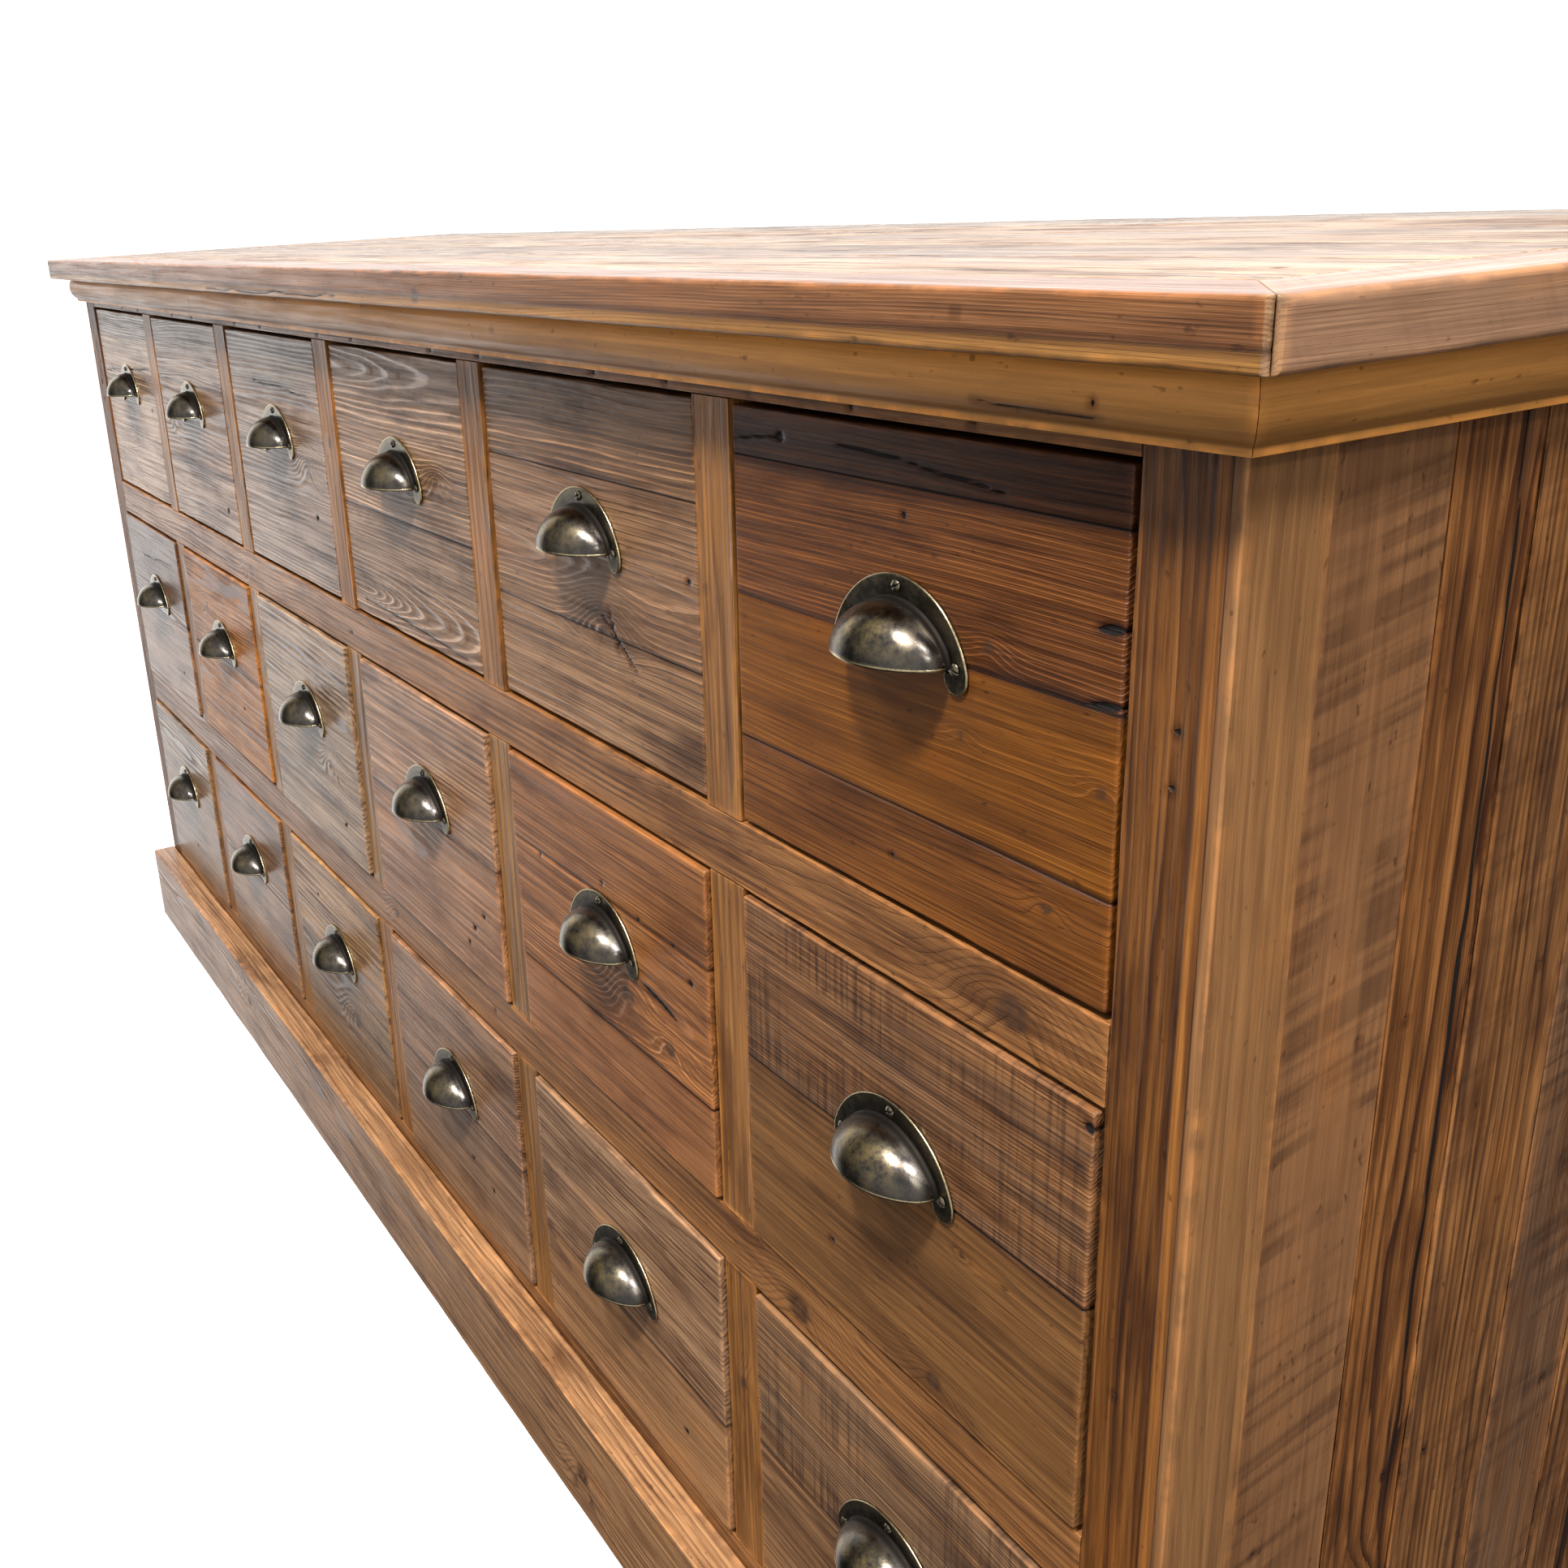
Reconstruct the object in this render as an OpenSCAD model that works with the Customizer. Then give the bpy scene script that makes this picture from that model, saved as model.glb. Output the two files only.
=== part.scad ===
// Apothecary cabinet: a long low chest with eighteen nearly square drawers,
// inset in a face frame of posts, rails and stiles. A thick worktop sits on a
// cornice moulding, the ends and the back are upright boards, and a plinth
// board runs along the foot of the front. Millimetres, +Z up, drawers face -Y.
// The origin is on the floor, at the centre of the worktop's outline.

/* [Drawer openings] */
// Width of one opening in the face frame
opening_w = 250; // [200:5:320]
// Height of one opening in the face frame
opening_h = 209; // [180:1:260]
// Space left all round an inset drawer front
front_gap = 2.5; // [1.5:0.5:4]
// Width of the upright between two openings
stile_w = 32; // [26:1:50]
// Height of the rail between two rows
rail_h = 36; // [30:1:50]

/* [Carcass] */
// Depth of the case without the worktop's overhangs
case_d = 490; // [470:5:560]
// Width of a corner post, seen from the front
post_w = 43; // [40:1:60]
// Depth of a corner post, seen from the end
post_d = 42; // [36:1:60]
// Thickness of the face frame's rails and stiles
frame_t = 22; // [18:1:28]
// Thickness of the end planks
side_t = 16; // [12:1:20]
// How far the end planks lie behind the posts' outer faces
side_recess = 2; // [1:0.5:4]
// Thickness of the back boards
back_t = 12; // [9:1:16]
// Thickness of the upright boards between the columns of drawers
partition_t = 16; // [12:1:20]

/* [Worktop and cornice] */
// Thickness of the worktop
top_t = 22; // [18:1:40]
// How far the worktop passes the case at the front and at both ends
top_overhang = 32; // [31:1:50]
// How far the worktop passes the case at the back
top_overhang_back = 8; // [0:1:20]
// Width of the edge boards that frame the worktop
edge_board_w = 45; // [35:1:70]
// Small flat across the worktop's upright corner
corner_flat = 4; // [2:0.5:6]
// Height of the cornice moulding
cornice_h = 27; // [24:1:45]
// Height of the strip of top rail that shows under the cornice
top_strip_h = 6; // [3:1:15]

/* [Plinth] */
// Height of the plinth board
plinth_h = 94; // [60:1:120]
// Thickness of the plinth board, which stands on the case's front
plinth_t = 28; // [18:1:28]
// Height of bottom rail that shows above the plinth
bottom_strip_h = 14; // [6:1:30]

/* [Drawer boxes] */
// Thickness of a drawer front
front_t = 20; // [16:1:24]
// Thickness of the drawer sides and back
drawer_side_t = 12; // [9:1:14]
// Thickness of a drawer bottom
drawer_bottom_t = 6; // [4:1:8]
// Length of a drawer box behind its front
drawer_l = 400; // [300:5:405]
// Height of the drawer sides
drawer_side_h = 165; // [120:5:170]

/* [Cup pulls] */
// Width of a pull's backplate
pull_w = 87.5; // [80:0.5:96]
// Height of the backplate above the cup's open edge
plate_rise = 33; // [31:0.5:36]
// Half of the cup's width at the backplate
cup_half_w = 33.5; // [30:0.5:34]
// Height of the cup above its open edge
cup_rise = 23; // [20:0.5:24]
// Short straight part of the cup next to the backplate
cup_skirt = 3; // [1:0.5:4]
// Sheet thickness of the cup and backplate
pull_t = 1.4; // [1:0.1:2]
// Height of the cup's open edge above the bottom of its opening
pull_height = 116; // [90:1:130]

/* [Hidden] */
$fn = 64;
columns = 6;
rows = 3;
eps = 0.1;
glue_gap = 0.2;
board_gap = 0.6;
run_gap = 0.5;

case_w = 2 * post_w + columns * opening_w + (columns - 1) * stile_w;
top_w = case_w + 2 * top_overhang;
top_d = case_d + top_overhang + top_overhang_back;
row_pitch = opening_h + rail_h;
column_pitch = opening_w + stile_w;
openings_bottom = plinth_h + bottom_strip_h;
openings_top = openings_bottom + rows * opening_h + (rows - 1) * rail_h;
case_h = openings_top + top_strip_h + cornice_h;

front_y = -top_d / 2 + top_overhang;
back_y = front_y + case_d;
left_x = -case_w / 2;
inner_x = case_w / 2 - post_w;
frame_back_y = front_y + frame_t;
panel_x = case_w / 2 - side_recess;
batten_t = post_w - side_recess - side_t;
batten_x = panel_x - side_t - batten_t;
rear_post_d = 40;
back_rail_t = 22;
back_rail_h = 40;
bottom_rail_h = 40;
side_foot = 6;
back_foot = 30;
carcass_back_y = back_y - back_t - back_rail_t;

// widths of the reclaimed boards, given as shares of the space they fill
side_shares = [15, 12, 15, 13, 17, 13, 15];
top_shares = [21, 18, 22, 19, 20];
back_shares = [12, 10, 13, 11, 12, 10, 11, 12, 9];
bottom_shares = [1, 1, 1, 1];

runner_h = 20;
runner_lift = 2;
runner_reach = 14;
guide_h = 40;
batten_h = 60;
stop_l = 20;
stop_h = 25;
stop_gap = 1;
stop_inset = 1;
block_l = 60;
block_t = 30;
block_foot = 10;
box_inset = 1;
bottom_board_t = 14;

mould_top = 14;
mould_foot = 6;
mould_curve_h = 18;

cup_end_r = 14;
lobe_r = 6.75;
lobe_drop = 3;
lobe_screw_in = 7;
lobe_screw_rise = 1;
screw_head_r = 3.1;
screw_head_h = 1.8;
screw_r = 1.5;
screw_l = 12;
screw_hole_r = 2;
head_gap = 0.05;

wood_honey = [0.62, 0.43, 0.25];
wood_brown = [0.45, 0.30, 0.19];
wood_grey = [0.58, 0.48, 0.40];
wood_pale = [0.76, 0.60, 0.45];
wood_raw = [0.78, 0.66, 0.48];
brass_old = [0.42, 0.37, 0.26];

function column_x(c) = (c - (columns + 1) / 2) * column_pitch;
function opening_z(r) = openings_bottom + (rows - r) * row_pitch;
function share_sum(v, n) = n == 0 ? 0 : v[n - 1] + share_sum(v, n - 1);
function share_pos(v, n) = share_sum(v, n) / share_sum(v, len(v));
// the top row lies a little behind the face frame, the others a little proud of it
recess = 1.4;
proud = 2;
function front_proud(r, c) = (r == 1 ? -recess : proud) + 0.4 * ((3 * c + 5 * r) % 4);
function arc_radius(half, rise) = (half * half + rise * rise) / (2 * rise);

// a box between two corners
module block(low, high) {
    translate(low) cube(high - low);
}

// ---------- worktop ----------

module worktop_planks() {
    x = top_w / 2 - edge_board_w - glue_gap;
    y0 = -top_d / 2 + edge_board_w + glue_gap;
    span = top_d / 2 - y0;
    color(wood_pale)
        for (i = [0:len(top_shares) - 1])
            block([-x, y0 + span * share_pos(top_shares, i), case_h],
                  [x, y0 + span * share_pos(top_shares, i + 1) - board_gap, case_h + top_t]);
}

module worktop_front_edge() {
    x = top_w / 2;
    y = -top_d / 2;
    f = corner_flat;
    color(wood_brown)
        translate([0, 0, case_h])
            linear_extrude(top_t)
                polygon([[f - x, y], [x - f, y], [x - f / 2, y + f / 2],
                         [x - edge_board_w, y + edge_board_w],
                         [edge_board_w - x, y + edge_board_w], [f / 2 - x, y + f / 2]]);
}

module worktop_end_edge() {
    x = top_w / 2;
    y = -top_d / 2;
    f = corner_flat;
    m = glue_gap;
    translate([0, m, case_h])
        linear_extrude(top_t)
            polygon([[x - f / 2, y + f / 2], [x, y + f], [x, -y - m],
                     [x - edge_board_w, -y - m], [x - edge_board_w, y + edge_board_w]]);
}

module worktop_end_edges() {
    color(wood_brown) {
        worktop_end_edge();
        mirror([1, 0, 0]) worktop_end_edge();
    }
}

// ---------- cornice ----------

// section of the moulding: x is the distance from the case, y the height
module cornice_section() {
    r = arc_radius(mould_curve_h, mould_top - mould_foot);
    intersection() {
        square([mould_top, cornice_h]);
        union() {
            translate([mould_top - r, mould_curve_h]) circle(r, $fn = 96);
            translate([0, mould_curve_h]) square([mould_top, cornice_h - mould_curve_h]);
        }
    }
}

// a length of moulding along +Y whose back is the plane x = 0
module cornice_length(from, to) {
    translate([0, to, 0])
        rotate([90, 0, 0])
            linear_extrude(to - from)
                cornice_section();
}

// everything on the front side of the two 45 degree mitres
module mitre_zone(low, high) {
    far = case_w / 2 + 2 * mould_top;
    translate([0, 0, low])
        linear_extrude(high - low)
            polygon([[-far, front_y - far + case_w / 2], [far, front_y - far + case_w / 2],
                     [case_w / 2, front_y], [-case_w / 2, front_y]]);
}

module cornice_front() {
    z = case_h - cornice_h;
    reach = case_w / 2 + mould_top;
    color(wood_honey)
        intersection() {
            translate([0, front_y, z])
                rotate([0, 0, -90])
                    cornice_length(-reach, reach);
            mitre_zone(z - eps, case_h + eps);
        }
}

module cornice_end() {
    z = case_h - cornice_h;
    difference() {
        translate([case_w / 2, 0, z]) cornice_length(front_y - mould_top, back_y);
        translate([glue_gap / 2, glue_gap / 2, 0]) mitre_zone(z - eps, case_h + eps);
    }
}

module cornice_ends() {
    color(wood_honey) {
        cornice_end();
        mirror([1, 0, 0]) cornice_end();
    }
}

// ---------- face frame and posts ----------

module post_front_right() {
    color(wood_honey)
        block([inner_x, front_y, 0], [case_w / 2, front_y + post_d, case_h]);
}

module post_front_left() {
    mirror([1, 0, 0]) post_front_right();
}

module posts_rear() {
    color(wood_honey)
        for (side = [0, 1])
            mirror([side, 0, 0])
                block([inner_x, back_y - rear_post_d, 0], [case_w / 2, back_y, case_h]);
}

// a rail of the face frame, from one corner post to the other
module face_rail(low, high) {
    color(wood_brown)
        block([-inner_x, front_y, low], [inner_x, frame_back_y, high]);
}

module top_rail() {
    face_rail(openings_top, case_h);
}

module upper_mid_rail() {
    face_rail(opening_z(2) + opening_h, opening_z(1));
}

module lower_mid_rail() {
    face_rail(opening_z(3) + opening_h, opening_z(2));
}

module bottom_rail() {
    face_rail(openings_bottom - bottom_rail_h, openings_bottom);
}

module face_stiles() {
    color(wood_honey)
        for (r = [1:rows])
            for (c = [1:columns - 1])
                translate([column_x(c) + opening_w / 2, front_y, opening_z(r) + glue_gap])
                    cube([stile_w, frame_t, opening_h - 2 * glue_gap]);
}

// ---------- ends, back and bottom ----------

module side_planks_right() {
    y0 = front_y + post_d;
    span = case_d - post_d - rear_post_d;
    color(wood_grey)
        for (i = [0:len(side_shares) - 1])
            block([panel_x - side_t, y0 + span * share_pos(side_shares, i) + board_gap / 2, side_foot],
                  [panel_x, y0 + span * share_pos(side_shares, i + 1) - board_gap / 2, case_h]);
}

module side_planks_left() {
    mirror([1, 0, 0]) side_planks_right();
}

// the rails that the end planks are nailed to, one behind each row's runners and one at the top
module side_battens() {
    color(wood_raw)
        for (side = [0, 1])
            mirror([side, 0, 0]) {
                for (r = [1:rows])
                    block([batten_x, front_y + post_d, opening_z(r) - batten_h / 2],
                          [batten_x + batten_t, back_y - rear_post_d, opening_z(r) + batten_h / 2]);
                block([batten_x, front_y + post_d, case_h - batten_h],
                      [batten_x + batten_t, back_y - rear_post_d, case_h]);
            }
}

module back_boards() {
    span = 2 * inner_x;
    color(wood_grey)
        for (i = [0:len(back_shares) - 1])
            block([-inner_x + span * share_pos(back_shares, i) + board_gap / 2, back_y - back_t, back_foot],
                  [-inner_x + span * share_pos(back_shares, i + 1) - board_gap / 2, back_y, case_h]);
}

module back_rails() {
    color(wood_raw)
        for (z = [openings_bottom - back_rail_h, case_h - back_rail_h])
            block([-inner_x, carcass_back_y, z],
                  [inner_x, carcass_back_y + back_rail_t, z + back_rail_h]);
}

module bottom_boards() {
    span = carcass_back_y - frame_back_y;
    top = openings_bottom - runner_h + runner_lift - glue_gap;
    color(wood_raw)
        for (i = [0:len(bottom_shares) - 1])
            block([-inner_x, frame_back_y + span * share_pos(bottom_shares, i) + board_gap, top - bottom_board_t],
                  [inner_x, frame_back_y + span * share_pos(bottom_shares, i + 1) - board_gap, top]);
}

// ---------- what carries the drawers ----------

module partitions() {
    foot = openings_bottom - runner_h + runner_lift;
    color(wood_raw)
        for (c = [1:columns - 1])
            translate([column_x(c) + column_pitch / 2 - partition_t / 2, frame_back_y, foot])
                cube([partition_t, carcass_back_y - frame_back_y, case_h - foot]);
}

// distance from the middle of a column to the wood beside it
function wall_reach(c, side) =
    (c == 1 && side < 0) || (c == columns && side > 0)
        ? batten_x - abs(column_x(c))
        : (column_pitch - partition_t) / 2;

// one bearer for each side of each drawer, and a guide strip on it beside a partition
module drawer_runners() {
    color(wood_raw)
        for (r = [1:rows])
            for (c = [1:columns])
                for (side = [-1, 1])
                    translate([column_x(c), 0, opening_z(r) + runner_lift])
                        mirror([side < 0 ? 1 : 0, 0, 0]) {
                            wall = wall_reach(c, side) - glue_gap;
                            inner = opening_w / 2 - runner_reach;
                            y0 = frame_back_y + glue_gap;
                            block([inner, y0, -runner_h], [wall, carcass_back_y, 0]);
                            if (wall > opening_w / 2)
                                block([opening_w / 2, y0, glue_gap], [wall, carcass_back_y, guide_h]);
                        }
}

// a block at the back of each bay stops the drawer when its front is in line
module drawer_stops() {
    y = front_y + front_t + drawer_l + recess + stop_gap;
    color(wood_raw)
        for (r = [1:rows])
            for (c = [1:columns])
                for (side = [0, 1])
                    translate([column_x(c), y, opening_z(r) + runner_lift + glue_gap])
                        mirror([side, 0, 0])
                            translate([opening_w / 2 - runner_reach, 0, 0])
                                cube([runner_reach - stop_inset, stop_l, stop_h]);
}

// ---------- plinth ----------

module plinth_front() {
    color(wood_brown)
        block([left_x, front_y - plinth_t, 0], [-left_x, front_y, plinth_h]);
}

module plinth_blocks() {
    top = openings_bottom - bottom_rail_h - glue_gap;
    color(wood_raw)
        for (i = [-2:2])
            block([i * case_w / 5 - block_l / 2, front_y + glue_gap, block_foot],
                  [i * case_w / 5 + block_l / 2, front_y + block_t, top]);
}

// ---------- drawers ----------

// front, two sides, back and bottom of one drawer; x = 0 is the middle of its column
module drawer(r, c) {
    half = opening_w / 2 - front_gap;
    side_x = half - box_inset;
    y1 = -front_proud(r, c);
    y2 = y1 + front_t + glue_gap;
    y3 = y1 + front_t + drawer_l;
    low = runner_lift + run_gap;
    z = low + drawer_bottom_t + glue_gap;
    color(wood_brown)
        block([-half, y1, front_gap], [half, y1 + front_t, opening_h - front_gap]);
    color(wood_raw) {
        block([-side_x, y2, low], [side_x, y3, low + drawer_bottom_t]);
        for (side = [0, 1])
            mirror([side, 0, 0])
                block([side_x - drawer_side_t, y2, z], [side_x, y3, z + drawer_side_h]);
        block([-side_x + drawer_side_t + glue_gap, y3 - drawer_side_t, z],
              [side_x - drawer_side_t - glue_gap, y3, z + drawer_side_h]);
    }
}

// ---------- cup pulls ----------

// a segment of a circle standing on the x axis
module segment(half, rise) {
    r = arc_radius(half, rise);
    intersection() {
        translate([0, rise - r]) circle(r, $fn = 96);
        translate([-half, 0]) square([2 * half, rise]);
    }
}

module plate_outline() {
    segment(pull_w / 2, plate_rise);
    for (side = [0, 1])
        mirror([side, 0])
            translate([pull_w / 2 - lobe_r, -lobe_drop]) {
                circle(lobe_r);
                square([lobe_r, lobe_drop]);
            }
}

// an arch of three arcs standing on the x axis: small ones at its ends, a large one between them
module arch(half, rise) {
    r = cup_end_r - (cup_half_w - half);
    a = half - r;
    b = rise - r;
    drop = (a * a - b * b) / (2 * b);
    intersection() {
        translate([-half, 0]) square([2 * half, rise]);
        union() {
            for (side = [-1, 1])
                translate([side * a, 0]) circle(r);
            intersection() {
                translate([0, -drop]) circle(rise + drop, $fn = 96);
                polygon([[0, -drop], [3 * a, 2 * drop], [-3 * a, 2 * drop]]);
            }
        }
    }
}

// half the bulge's solid: the arch turned a quarter about its straight side
module quarter_turn(half, rise) {
    intersection() {
        rotate([0, 90, 0])
            rotate_extrude($fn = 96)
                intersection() {
                    rotate(-90) arch(half, rise);
                    translate([0, -half]) square([rise, 2 * half]);
                }
        translate([-half, -rise, 0]) cube([2 * half, rise, rise]);
    }
}

// the cup's outer or inner form, growing from the plate at y = 0 towards -Y
module cup_form(half, rise) {
    rotate([90, 0, 0]) linear_extrude(cup_skirt) arch(half, rise);
    translate([0, -cup_skirt, 0]) quarter_turn(half, rise);
}

module pull_shell() {
    difference() {
        union() {
            rotate([90, 0, 0]) linear_extrude(pull_t) plate_outline();
            cup_form(cup_half_w, cup_rise);
        }
        translate([0, eps, -eps]) cup_form(cup_half_w - pull_t, cup_rise - pull_t);
        for (p = screw_places())
            translate([p[0], eps, p[1]]) rotate([90, 0, 0]) cylinder(r = screw_hole_r, h = pull_t + 2 * eps);
    }
}

function screw_places() = [
    [0, (plate_rise + cup_rise) / 2],
    [pull_w / 2 - lobe_screw_in, lobe_screw_rise],
    [lobe_screw_in - pull_w / 2, lobe_screw_rise]
];

// round-headed screw, its head's underside at y = 0 and its shank along +Y
module screw() {
    r = arc_radius(screw_head_r, screw_head_h);
    intersection() {
        translate([0, r - screw_head_h, 0]) sphere(r, $fn = 48);
        translate([-r, -screw_head_h, -r]) cube([2 * r, screw_head_h, 2 * r]);
    }
    rotate([-90, 0, 0]) cylinder(r = screw_r, h = screw_l, $fn = 24);
}

module pull(r, c) {
    color(brass_old)
        translate([0, -front_proud(r, c), pull_height]) {
            pull_shell();
            for (p = screw_places())
                translate([p[0], -pull_t - head_gap, p[1]]) screw();
        }
}

// ---------- assembly ----------

worktop_planks();
worktop_front_edge();
worktop_end_edges();
cornice_front();
cornice_ends();
post_front_left();
post_front_right();
posts_rear();
top_rail();
upper_mid_rail();
lower_mid_rail();
bottom_rail();
face_stiles();
side_planks_left();
side_planks_right();
side_battens();
back_boards();
back_rails();
partitions();
drawer_runners();
drawer_stops();
bottom_boards();
plinth_front();
plinth_blocks();
for (r = [1:rows], c = [1:columns])
    translate([column_x(c), front_y, opening_z(r)]) drawer(r, c);
for (r = [1:rows], c = [1:columns])
    translate([column_x(c), front_y, opening_z(r)]) pull(r, c);
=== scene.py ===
import math

import bpy
import numpy as np
from mathutils import Matrix, Vector


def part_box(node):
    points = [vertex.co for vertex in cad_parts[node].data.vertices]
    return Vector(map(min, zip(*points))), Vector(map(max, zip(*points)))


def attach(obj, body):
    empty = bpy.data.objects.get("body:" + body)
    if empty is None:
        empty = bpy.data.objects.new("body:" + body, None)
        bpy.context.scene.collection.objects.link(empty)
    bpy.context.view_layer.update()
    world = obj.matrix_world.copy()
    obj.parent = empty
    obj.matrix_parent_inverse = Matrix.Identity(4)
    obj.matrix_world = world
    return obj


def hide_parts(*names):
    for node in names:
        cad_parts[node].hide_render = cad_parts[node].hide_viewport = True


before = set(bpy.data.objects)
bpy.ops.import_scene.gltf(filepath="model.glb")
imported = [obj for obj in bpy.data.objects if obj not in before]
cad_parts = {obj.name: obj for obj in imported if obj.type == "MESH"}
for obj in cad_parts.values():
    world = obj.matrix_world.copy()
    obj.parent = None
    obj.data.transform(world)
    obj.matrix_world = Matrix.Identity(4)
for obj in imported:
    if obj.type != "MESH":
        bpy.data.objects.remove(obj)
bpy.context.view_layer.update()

MM = 0.001
ROWS, COLUMNS = 3, 6
CARCASS = "carcass"

# sizes shared with the CAD model
PITCH = 282 * MM            # from one drawer column to the next
STILE_W, STILE_H = 32 * MM, 208.6 * MM
POST_W = 43 * MM
FRONT_GAP = 2.5 * MM        # round a drawer front
FRONT_T = 20 * MM           # thickness of a drawer front
BOX_T, BOX_BOTTOM = 12 * MM, 6 * MM
BOX_WALL_H = 165 * MM
EDGE_W = 45 * MM            # width of the worktop's edge boards
HALF_FLAT = 2 * MM          # half of the worktop corner's flat, on each of the two boards that meet there
CORNICE_OUT, CORNICE_H = 14 * MM, 27 * MM
SEAM = 0.2 * MM             # clearance between pieces that touch
PLANK_SEAM = 0.6 * MM       # gap between planks


# ---------- deterministic noise ----------

def lattice_value(i, seed):
    """A repeatable value from 0 to 1 for every whole-number point in i (n, 3)."""
    h = (i[:, 0] * 374761393 + i[:, 1] * 668265263 + i[:, 2] * 1440662683 + seed * 974711) & 0xFFFFFFFF
    h = ((h ^ (h >> 13)) * 1274126177) & 0xFFFFFFFF
    h = ((h ^ (h >> 15)) * 2246822519) & 0xFFFFFFFF
    return ((h ^ (h >> 16)) & 0xFFFF) / 65535.0


def noise(p, per_metre, seed):
    """Smooth noise from -1 to 1 at points p (n, 3), with so many features per metre along each axis."""
    q = p * np.array(per_metre, float) + seed * 0.37
    base = np.floor(q).astype(np.int64)
    f = q - base
    f = f * f * (3 - 2 * f)
    total = np.zeros(len(p))
    for corner in range(8):
        step = np.array([corner & 1, corner >> 1 & 1, corner >> 2 & 1])
        weight = np.prod(np.where(step, f, 1 - f), axis=1)
        total += weight * lattice_value(base + step, seed)
    return 2 * total - 1


def smooth(x, low, high):
    t = np.clip((x - low) / (high - low), 0, 1)
    return t * t * (3 - 2 * t)


# ---------- boards ----------

def axis_stations(low, high, step, r):
    """Places of the mesh lines along one side of a board: even between, and closer round the eased edges."""
    turn = [r * (1 - math.tan(math.radians(a))) for a in (45, 30, 15)]
    count = max(1, round((high - low - 2 * r) / step))
    middle = list(np.linspace(low + r, high - r, count + 1))
    return np.array([low + t for t in turn] + middle + [high - t for t in reversed(turn)])


def box_skin(xs, ys, zs):
    """Vertices and outward quads of a box whose sides carry the given mesh lines."""
    n = (len(xs), len(ys), len(zs))
    skin = np.zeros(n, bool)
    skin[[0, -1]] = True
    skin[:, [0, -1]] = True
    skin[:, :, [0, -1]] = True
    ids = np.full(n, -1, np.int64)
    ids[skin] = np.arange(skin.sum())
    i, j, k = np.nonzero(skin)
    quads = []
    for axis in range(3):
        for end, flip in ((0, True), (-1, False)):
            s = np.take(ids, end, axis)
            quad = np.stack([s[:-1, :-1], s[1:, :-1], s[1:, 1:], s[:-1, 1:]], -1).reshape(-1, 4)
            if flip != (axis == 1):
                quad = quad[:, ::-1]
            quads.append(quad)
    return np.stack([xs[i], ys[j], zs[k]], 1), np.concatenate(quads)


def new_mesh(name, verts, faces, material, smooth_shade=True):
    mesh = bpy.data.meshes.new(name)
    faces = np.asarray(faces)
    mesh.vertices.add(len(verts))
    mesh.vertices.foreach_set("co", np.asarray(verts, np.float32).ravel())
    mesh.loops.add(faces.size)
    mesh.loops.foreach_set("vertex_index", faces.ravel().astype(np.int32))
    mesh.polygons.add(len(faces))
    mesh.polygons.foreach_set("loop_start", np.arange(0, faces.size, faces.shape[1], dtype=np.int32))
    mesh.update(calc_edges=True)
    mesh.validate()
    mesh.polygons.foreach_set("use_smooth", np.full(len(mesh.polygons), smooth_shade))
    mesh.materials.append(material)
    return mesh


def add_piece(name, mesh, body, slot, *nodes):
    """Puts a mesh in the scene as a piece that rides on a body and stands for CAD nodes."""
    piece = bpy.data.objects.new(name, mesh)
    bpy.context.scene.collection.objects.link(piece)
    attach(piece, body)
    if nodes:
        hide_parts(*nodes)
    return piece


def put_float(mesh, name, values):
    mesh.attributes.new(name, "FLOAT", "POINT").data.foreach_set("value", values.astype(np.float32))


def put_vector(mesh, name, values):
    data = mesh.attributes.new(name, "FLOAT_VECTOR", "POINT").data
    data.foreach_set("vector", np.asarray(values, np.float32).ravel())


def put_colour(mesh, name, values):
    rgba = np.concatenate([values, np.ones((len(values), 1))], 1)
    data = mesh.attributes.new(name, "FLOAT_COLOR", "POINT").data
    data.foreach_set("color", rgba.astype(np.float32).ravel())


def look(tint, ring=3.2, depth=45, off=0, tilt=0.0, contrast=0.6, saw=0.0, slant=0.0, pitch=3.3, grey=0.0,
         relief=0.15):
    """How one plank looks: colour, mm between growth rings, mm from the face to the heart of the tree and
    from the middle of the plank to it, slope of the heart along the grain, strength of the rings (below 0
    for pale rings, whose lightness is a painted sheen on the raised rings), strength, slope and mm between
    the saw marks, grey weathering, and depth in mm of the worn grain."""
    return dict(tint=np.array(tint), ring=ring * MM, depth=depth * MM, off=off * MM, tilt=tilt,
                contrast=contrast, saw=saw, slant=slant, pitch=pitch * MM, grey=grey, relief=relief * MM)


def segment_distance(u, v, line):
    (u0, v0), (u1, v1) = line
    du, dv = u1 - u0, v1 - v0
    t = np.clip(((u - u0) * du + (v - v0) * dv) / (du * du + dv * dv), 0, 1)
    return np.hypot(u - u0 - t * du, v - v0 - t * dv), t


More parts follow.
